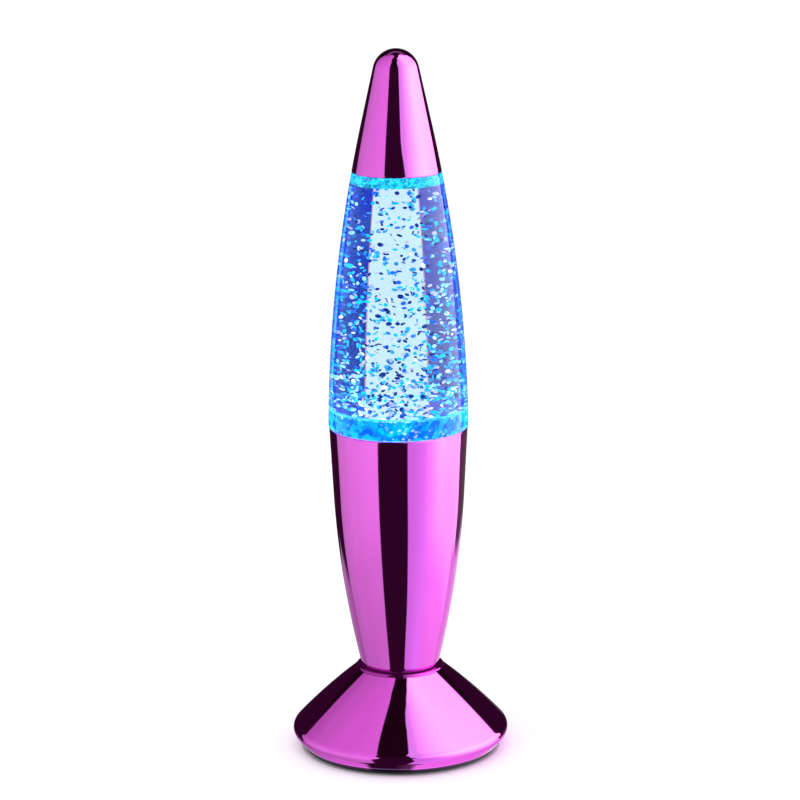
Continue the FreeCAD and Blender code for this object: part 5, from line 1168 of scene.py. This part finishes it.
LIT_WALL = ClearFinish(
    "bottle_wall", stretch=(1, 1, 1.3),
    # Edge on, the wall gets a blue tint and a painted edge glow.
    rims=(Rim(0.44, CLEAR_TINT), Rim(0.54, (0.6, 0.75, 1.0), (0.01, 0.0, 0.16)),
          Rim(0.65, (0.3, 0.5, 1.0), (0.0, 0.0, 0.32)),
          Rim(0.68, (0.5, 0.85, 1.0), (0.015, 0.11, 0.3)),
          Rim(0.73, (0.5, 0.85, 1.0), (0.01, 0.1, 0.28)),
          Rim(0.77, (0.35, 0.65, 1.0), (0.0, 0.02, 0.3)),
          Rim(1.0, (0.4, 0.6, 1.0), (0.0, 0.02, 0.3))),
    # Painted glow zones: the ring under the cap, the band at the foot, the floor's top line, and a
    # pale line at the foot as painted highlight.
    zones=(PaintedGlowZone(ROOF_BOTTOM, CAP_BOTTOM, deep=(0.0, 0.2, 0.33), light=(0.01, 0.6, 0.75),
                    speck=(0.35, 1.0, 1.0), tint=(0.005, 0.05, 0.08), blocks=560.0,
                    specks=900.0, fade=0.6 * MILLIMETRE),
           PaintedGlowZone(BODY_TOP, FLOOR_TOP - 0.6 * MILLIMETRE, deep=(0.0, 0.07, 0.55),
                    light=(0.0, 0.42, 0.75), speck=(0.75, 0.9, 1.0), tint=(0.02, 0.15, 0.42),
                    blocks=300.0, specks=360.0, fade=1.0 * MILLIMETRE),
           PaintedGlowZone(FLOOR_TOP - 0.5 * MILLIMETRE, FLOOR_TOP + 0.3 * MILLIMETRE,
                    deep=(0.02, 0.2, 0.45), light=(0.05, 0.5, 0.62), speck=(0.7, 0.9, 0.95),
                    tint=(0.2, 0.5, 0.8), blocks=420.0, specks=500.0, fade=0.4 * MILLIMETRE),
           PaintedGlowZone(BODY_TOP, BODY_TOP + 0.25 * MILLIMETRE, deep=(0.15, 0.35, 0.6),
                    light=(0.55, 0.7, 0.85), speck=(0.9, 0.9, 1.0), blocks=500.0)))
LIT_FLOOR = ClearFinish(
    "bottle_floor", stretch=(1, 1, 2.0), clearness=0.25, roughness=(0.15, 0.3),
    # Painted glow through the bottle's floor.
    zones=(PaintedGlowZone(FLOOR_BOTTOM, FLOOR_TOP, deep=(0.0, 0.07, 0.36), light=(0.0, 0.42, 0.38),
                    speck=(0.85, 0.85, 0.6), tint=(0.1, 0.35, 0.7), blocks=170.0,
                    specks=380.0),))
BLUE_LIQUID = LiquidFinish("blue_liquid", bottom=FLOOR_TOP, top=ROOF_BOTTOM,
                           high_glow=(0.005, 0.012, 0.35), low_glow=(0.01, 0.02, 0.25),
                           cloud_glow=(0.014, 0.034, 0.28), tint=(0.64, 0.87, 0.56))
FOIL = FlakeFinish("glitter_foil", glow=1.0)


@dataclass(frozen=True)
class PlatedShells:
    """The metal film on the outsides of cap, body and base."""

    proud: float = 0.03 * MILLIMETRE
    film: float = 0.1 * MILLIMETRE
    edge_round: float = 0.5 * MILLIMETRE
    cap_edge_round: float = 0.4 * MILLIMETRE
    cap_wall: float = 1.8 * MILLIMETRE
    mouth_radius: float = 30.7 * MILLIMETRE
    seat_radius: float = 17.0 * MILLIMETRE

    def build(self) -> None:
        """Turns and dresses the three skins."""
        plain, banded = MAGENTA_FILM.material(), BASE_FILM.material()
        for name, outline, film in (("cap_plating", self.cap, plain),
                                    ("body_plating", self.body, plain),
                                    ("base_plating", self.base, banded)):
            outside = outline(-self.proud)
            inside = outline(self.film)
            fit(turn(name, outside + inside[::-1]), film, Body.LAMP)

    def cap(self, inset: float) -> Outline:
        """Half outline of the cap, from its lower inner edge to the tip."""
        edge = self.cap_edge_round
        corner, slope = POINTED.corner(CAP_BOTTOM + edge, edge)
        bottom = CAP_BOTTOM + max(inset, 0)
        rim = arc(corner, edge - inset, -90, slope, EDGE_STEPS)
        rim = [(radius, max(height, bottom)) for radius, height in rim]
        flank = POINTED.flank(rim[-1][1], POINTED.straight_height, inset, FLANK_STEPS // 2)
        return ([(POINTED.radius(CAP_BOTTOM) - self.cap_wall, bottom)] + rim + flank[1:-1]
                + POINTED.tip(inset, DOME_STEPS))

    def body(self, inset: float) -> Outline:
        """Half outline of the body, from under its foot to its mouth."""
        side = BODY.outline(inset, self.edge_round)
        foot = BODY.foot_radius - self.edge_round * 3
        return [(foot, side[0][1])] + side + [(self.mouth_radius, side[-1][1])]

    def base(self, inset: float) -> Outline:
        """Half outline of the base, from its lip to the deck under the body."""
        side = BASE.outline(inset)
        return side + [(self.seat_radius, side[-1][1])]


@dataclass(frozen=True)
class Bottle:
    """The clear bottle, its floor, the liquid and the glitter in it."""

    wall: float = 2.4 * MILLIMETRE
    foot_round: float = 1.5 * MILLIMETRE
    top_round: float = 0.6 * MILLIMETRE
    spigot_radius: float = 30.3 * MILLIMETRE
    spigot_inner: float = 28.5 * MILLIMETRE
    neck_radius: float = 15.5 * MILLIMETRE
    filler_radius: float = 5.0 * MILLIMETRE
    flange_radius: float = 30.2 * MILLIMETRE
    groove_radius: float = 27.0 * MILLIMETRE
    groove_width: float = 1.9 * MILLIMETRE
    floor_gap: float = 0.15 * MILLIMETRE
    well_radius: float = 13.5 * MILLIMETRE
    well_depth: float = 8.0 * MILLIMETRE
    recess_radius: float = 12.5 * MILLIMETRE
    web: float = 3.5 * MILLIMETRE
    wetting: float = 0.1 * MILLIMETRE
    air_film: float = 0.05 * MILLIMETRE

    @property
    def spigot_bottom(self) -> float:
        """Height of the spigot's lower end, on the floor's flange."""
        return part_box("bottle_shell")[0].z

    def build(self) -> None:
        """Makes and dresses wall, floor, liquid and glitter."""
        wall = turn("bottle_wall", self.wall_outline())
        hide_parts("bottle_shell")
        fit(wall, LIT_WALL.material(), Body.LAMP)
        floor = turn("bottle_floor_plug", self.floor_outline())
        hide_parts("bottle_floor")
        fit(floor, LIT_FLOOR.material(), Body.LAMP)
        liquid = turn("blue_liquid", self.liquid_outline())
        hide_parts("glitter_fluid")
        fit(liquid, BLUE_LIQUID.material(), Body.LAMP)
        Glitter(self.wall).build()

    def wall_outline(self) -> Outline:
        """Closed half outline of the bottle with spigot, solid roof and neck."""
        foot, foot_slope = POINTED.corner(BODY_TOP + self.foot_round, self.foot_round)
        head, head_slope = POINTED.corner(CAP_BOTTOM - self.top_round, self.top_round)
        foot_edge = arc(foot, self.foot_round, -90, foot_slope, EDGE_STEPS)
        head_edge = arc(head, self.top_round, head_slope, 90, EDGE_STEPS)
        neck_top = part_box("bottle_shell")[1].z
        outside = POINTED.flank(foot_edge[-1][1], head_edge[0][1], 0, FLANK_STEPS)
        inside = POINTED.flank(ROOF_BOTTOM, FLOOR_TOP, self.wall, FLANK_STEPS)
        return ([(self.spigot_inner, self.spigot_bottom), (self.spigot_radius, self.spigot_bottom),
                 (self.spigot_radius, BODY_TOP)] + foot_edge + outside[1:-1] + head_edge
                + [(self.neck_radius, CAP_BOTTOM), (self.neck_radius, neck_top),
                   (self.filler_radius, neck_top), (self.filler_radius, ROOF_BOTTOM)]
                + inside + [(self.spigot_inner, FLOOR_TOP)])

    def floor_outline(self) -> Outline:
        """Closed half outline of the floor with flange, seal groove, well and recess."""
        side = self.spigot_inner - self.floor_gap
        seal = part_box("floor_seal")
        middle = (seal[0].z + seal[1].z) / 2
        low = middle - self.groove_width / 2
        high = middle + self.groove_width / 2
        well = FLOOR_TOP - self.well_depth
        recess = well - self.web
        return [(self.recess_radius, FLOOR_BOTTOM), (self.flange_radius, FLOOR_BOTTOM),
                (self.flange_radius, self.spigot_bottom), (side, self.spigot_bottom), (side, low),
                (self.groove_radius, low), (self.groove_radius, high), (side, high),
                (side, FLOOR_TOP), (self.well_radius, FLOOR_TOP), (self.well_radius, well),
                (0, well), (0, recess), (self.recess_radius, recess)]

    def liquid_outline(self) -> Outline:
        """Half outline of the liquid, which wets the wall but mirrors itself in the floor."""
        inset = self.wall - self.wetting
        bottom = FLOOR_TOP + self.air_film
        top = ROOF_BOTTOM + self.wetting
        return [(0, bottom)] + POINTED.flank(bottom, top, inset, FLANK_STEPS) + [(0, top)]


class FlakeTintAndGlint(enum.Enum):
    """Tints and painted glints of the foil flakes, linear, and how often each comes aside and in the
    middle.
    """

    # Each tint is also the flake's glow; the middle column holds more dark ones, as painted shade.
    NAVY = ((0.0, 0.003, 0.09), 6, 30)
    BLUE = ((0.02, 0.14, 1.1), 16, 15)
    TEAL = ((0.03, 0.34, 0.65), 6, 17)
    CYAN = ((0.0, 0.6, 1.4), 34, 18)
    ICE = ((0.5, 0.9, 1.6), 22, 8)
    LILAC = ((0.7, 0.58, 1.1), 10, 12)
    PEARL = ((1.5, 1.2, 1.7), 9, 3)


@dataclass(frozen=True)
class Glitter:
    """Foil flakes afloat in the liquid, thicker towards its bottom.

    The construction's own flakes come first, at their places. Others, slightly domed, float
    round them."""

    wall: float
    count: int = 300
    companions: int = 8
    seed: int = 11
    radius: float = 0.7 * MILLIMETRE
    thickness: float = 0.12 * MILLIMETRE
    dome: float = 0.42
    thinned: float = 22.0 * MILLIMETRE
    room: float = 0.8 * MILLIMETRE
    loose_room: float = 0.5 * MILLIMETRE
    liquid_gap: float = 0.15 * MILLIMETRE
    settling: float = 1.35
    lean: float = 20.0
    lean_spread: float = 50.0
    outward_step: float = 0.7549
    turn_step: float = 0.5698
    lean_step: float = 0.618
    heading_step: float = 0.4142
    middle: float = 12.5 * MILLIMETRE
    drift: float = 5 * MILLIMETRE
    shades: Span = (0.7, 1.15)
    kept_least: float = 0.2
    kept_low: float = 0.25
    kept_aside: float = 0.55
    loose_lean: Span = (52.0, 24.0)
    loose_sizes: Span = (1.15, 1.5)
    loose_widths: Span = (1.0, 1.2)

    @property
    def low(self) -> float:
        """Lowest height of a flake's middle."""
        return FLOOR_TOP + self.liquid_gap + self.room

    @property
    def high(self) -> float:
        """Highest height of a flake's middle."""
        return ROOF_BOTTOM - self.liquid_gap - self.room

    def reach(self, height: float) -> float:
        """Furthest distance of a flake's middle from the axis at a height."""
        return POINTED.radius(height, self.wall + self.liquid_gap) - self.room

    def build(self) -> None:
        """Models two flakes, copies them into the liquid and joins the copies."""
        draw = random.Random(self.seed)
        flat, domed = self.flat_flake(), self.domed_flake()
        copies = []
        for index in range(self.count):
            spot, tilt = self.own_place(index)
            copies.append(self.copy(flat, draw, spot, tilt))
            for _ in range(self.companions):
                height = spot.z + draw.gauss(0, self.drift)
                place = self.adrift(draw, height)
                if self.kept(draw, place[0]):
                    copies.append(self.copy(domed, draw, *place))
        for pattern in (flat, domed):
            bpy.data.objects.remove(pattern)
        bpy.ops.object.select_all(action="DESELECT")
        for copy in copies:
            copy.select_set(True)
        bpy.context.view_layer.objects.active = copies[0]
        bpy.ops.object.join()
        flakes = bpy.context.object
        flakes.name = "foil_glitter"
        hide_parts("glitter_flakes")
        fit(flakes, FOIL.material(), Body.LAMP)

    def flat_flake(self) -> bpy.types.Object:
        """One six-sided flake, as in the construction."""
        bpy.ops.object.select_all(action="DESELECT")
        bpy.ops.mesh.primitive_cylinder_add(vertices=6, radius=self.radius, depth=self.thickness)
        return bpy.context.object

    def domed_flake(self) -> bpy.types.Object:
        """One flake that is domed on both faces."""
        bpy.ops.object.select_all(action="DESELECT")
        bpy.ops.mesh.primitive_uv_sphere_add(segments=10, ring_count=4, radius=self.radius)
        flake = bpy.context.object
        flake.data.transform(Matrix.Diagonal((1, 1, self.dome, 1)))
        return flake

    def copy(self, pattern: bpy.types.Object, draw: random.Random, spot: Vector,
             turned: Matrix) -> bpy.types.Object:
        """A copy of a flake at its spot, with a tint of its own that is also its painted glint."""
        made = bpy.data.objects.new("flake", pattern.data.copy())
        bpy.context.scene.collection.objects.link(made)
        made.data.transform(Matrix.Translation(spot) @ turned)
        # Flakes near the middle draw darker tints as painted shade, flakes aside brighter ones as
        # painted glints.
        column = 2 if abs(spot.x) < self.middle else 1
        weights = [tint.value[column] for tint in FlakeTintAndGlint]
        colour = draw.choices([tint.value[0] for tint in FlakeTintAndGlint], weights)[0]
        shade = draw.uniform(*self.shades)
        attribute = made.data.color_attributes.new(FLAKE_TINT_AND_GLINT, "FLOAT_COLOR", "POINT")
        values = [channel * shade for channel in colour] + [1.0]
        attribute.data.foreach_set("color", values * len(made.data.vertices))
        return made

    def spread(self, index: int, step: float) -> float:
        """Even but irregular share from 0 to 1 for an index."""
        return math.modf(index * step)[0]

    def kept(self, draw: random.Random, spot: Vector) -> bool:
        """Whether a flake stays, because the middle holds fewer, most of all near the top."""
        aside = min(abs(spot.x) / self.thinned, 1.0)
        rise = (spot.z - self.low) / (self.high - self.low)
        share = self.kept_least + self.kept_low * (1 - rise) + self.kept_aside * aside ** 2
        return draw.random() < share

    def own_place(self, index: int) -> tuple[Vector, Matrix]:
        """Place and tilt of one of the construction's flakes."""
        share = ((index + 0.5) / self.count) ** self.settling
        height = self.low + (self.high - self.low) * share
        distance = self.reach(height) * math.sqrt(self.spread(index, self.outward_step))
        angle = FULL_TURN * self.spread(index, self.turn_step)
        spot = Vector((distance * math.cos(angle), distance * math.sin(angle), height))
        lean = self.lean + self.lean_spread * self.spread(index, self.lean_step)
        heading = FULL_TURN * self.spread(index, self.heading_step)
        tilt = Matrix.Rotation(heading, 4, "Z") @ Matrix.Rotation(math.radians(lean), 4, "X")
        return spot, tilt

    def adrift(self, draw: random.Random, height: float) -> tuple[Vector, Matrix]:
        """Place of a loose flake near a height, and its turn and size."""
        low, high = self.low + self.loose_room, self.high - self.loose_room
        height = min(low + abs(height - low), high)
        distance = (self.reach(height) - self.loose_room) * math.sqrt(draw.random())
        angle = draw.uniform(0, FULL_TURN)
        spot = Vector((distance * math.cos(angle), distance * math.sin(angle), height))
        tilt = (Matrix.Rotation(draw.uniform(0, FULL_TURN), 4, "Z")
                @ Matrix.Rotation(math.radians(draw.gauss(*self.loose_lean)), 4, "X")
                @ Matrix.Rotation(draw.uniform(0, FULL_TURN), 4, "Z"))
        size = draw.uniform(*self.loose_sizes)
        return spot, tilt @ Matrix.Diagonal((size * draw.uniform(*self.loose_widths), size, size, 1))


@dataclass(frozen=True)
class NodeFinishes:
    """Finishes of the construction's own nodes, by the slot that each node has."""

    def build(self) -> None:
        """Gives every node the material of its slot and even shading."""
        slots = {part["node"]: part["material_slot"] for part in frame["record"]["subparts"]}
        made = {finish.name: finish.material() for finish in SOLID_FINISHES}
        rounding = self.rounding()
        for name, node in sorted(frame["nodes"].items()):
            slot = slots[name]
            node.data.materials.clear()
            node.data.materials.append(made[slot])
            shade = node.modifiers.new("even_shading", "NODES")
            shade.node_group = rounding
            LOG.info("%s: construction node, finish %s", name, slot)

    def rounding(self) -> bpy.types.NodeTree:
        """Geometry nodes that merge loose facets and smooth all but sharp edges."""
        tree = bpy.data.node_groups.new("even_shading", "GeometryNodeTree")
        tree.interface.new_socket("Geometry", in_out="INPUT", socket_type="NodeSocketGeometry")
        tree.interface.new_socket("Geometry", in_out="OUTPUT", socket_type="NodeSocketGeometry")
        wiring = Wiring(tree)
        source = wiring.node("NodeGroupInput").outputs[0]
        merged = wiring.node("GeometryNodeMergeByDistance",
                             {"Geometry": source, "Distance": WELD_DISTANCE}).outputs[0]
        smooth = wiring.node("GeometryNodeSetShadeSmooth", {"Geometry": merged}, domain="FACE")
        angle = wiring.node("GeometryNodeInputMeshEdgeAngle").outputs["Unsigned Angle"]
        sharp = wiring.node("FunctionNodeCompare", {0: angle, 1: SMOOTH_ANGLE},
                            operation="GREATER_THAN")
        edges = wiring.node("GeometryNodeSetShadeSmooth",
                            {"Geometry": smooth.outputs[0], "Selection": sharp.outputs[0],
                             "Shade Smooth": False}, domain="EDGE")
        wiring.node("NodeGroupOutput", {0: edges.outputs[0]})
        return tree


SOLID_FINISHES = (
    SolidFinish("plated_plastic", (0.045, 0.01, 0.04), (0.06, 0.015, 0.052), (0.4, 0.5)),
    SolidFinish("black_plastic", (0.013, 0.011, 0.017), (0.022, 0.019, 0.027), (0.42, 0.58),
                relief=0.00002, fineness=2600.0, specular=0.2),
    SolidFinish("rubber", (0.02, 0.02, 0.022), (0.035, 0.035, 0.036), (0.75, 0.9),
                relief=0.00003),
    SolidFinish("clear_plastic", (0.8, 0.85, 0.9), (0.75, 0.8, 0.9), (0.1, 0.2)),
    SolidFinish("liquid", (0.05, 0.08, 0.5), (0.05, 0.1, 0.6), (0.1, 0.2)),
    SolidFinish("glitter_foil", (0.1, 0.5, 0.8), (0.3, 0.6, 0.9), (0.1, 0.2), metallic=1.0),
    SolidFinish("screw_steel", (0.56, 0.57, 0.58), (0.42, 0.43, 0.45), (0.22, 0.4),
                metallic=1.0, effect=DRAWN_STREAKS, relief=0.000006),
    SolidFinish("spring_steel", (0.62, 0.62, 0.6), (0.5, 0.5, 0.48), (0.2, 0.35), metallic=1.0,
                effect=DRAWN_STREAKS, relief=0.000005),
    CellFinish("cell_case", wrap=(0.03, 0.2, 0.1), band=(0.75, 0.45, 0.12),
               steel=(0.6, 0.6, 0.6), steel_from=21.6 * MILLIMETRE,
               band_from=12.0 * MILLIMETRE, band_to=18.0 * MILLIMETRE),
    SolidFinish("switch_plastic", (0.018, 0.018, 0.02), (0.03, 0.03, 0.033), (0.35, 0.5)),
    SolidFinish("terminal_brass", (0.72, 0.52, 0.2), (0.6, 0.4, 0.14), (0.25, 0.4),
                metallic=1.0, effect=DRAWN_STREAKS),
    SolidFinish("motor_steel", (0.6, 0.6, 0.6), (0.5, 0.5, 0.5), (0.25, 0.4), metallic=1.0,
                effect=DRAWN_STREAKS),
    SolidFinish("white_plastic", (0.74, 0.74, 0.71), (0.68, 0.68, 0.65), (0.45, 0.55)),
    SolidFinish("stirrer_plastic", (0.7, 0.75, 0.8), (0.62, 0.68, 0.75), (0.3, 0.4)),
    SolidFinish("shaft_steel", (0.66, 0.66, 0.66), (0.56, 0.56, 0.57), (0.12, 0.25),
                metallic=1.0, effect=DRAWN_STREAKS, relief=0.000003),
    SolidFinish("magnet", (0.5, 0.5, 0.52), (0.42, 0.42, 0.44), (0.2, 0.35), metallic=1.0),
    SolidFinish("circuit_board", (0.01, 0.12, 0.05), (0.04, 0.3, 0.13), (0.25, 0.35),
                coat=0.3, effect=DRAWN_STREAKS),
    SolidFinish("led_lens", (0.55, 0.75, 1.0), (0.5, 0.7, 1.0), (0.1, 0.2)),
    SolidFinish("chip_plastic", (0.02, 0.02, 0.02), (0.03, 0.03, 0.03), (0.5, 0.6)),
    SolidFinish("red_insulation", (0.5, 0.02, 0.02), (0.42, 0.015, 0.015), (0.35, 0.5)),
    SolidFinish("black_insulation", (0.018, 0.018, 0.018), (0.03, 0.03, 0.03), (0.35, 0.5)),
)


def main() -> None:
    """Builds the stage and each sub-assembly."""
    logging.basicConfig(level=logging.INFO, format="%(name)s: %(message)s")
    Studio().build()
    NodeFinishes().build()
    PlatedShells().build()
    Bottle().build()


if __name__ == "__main__":
    main()
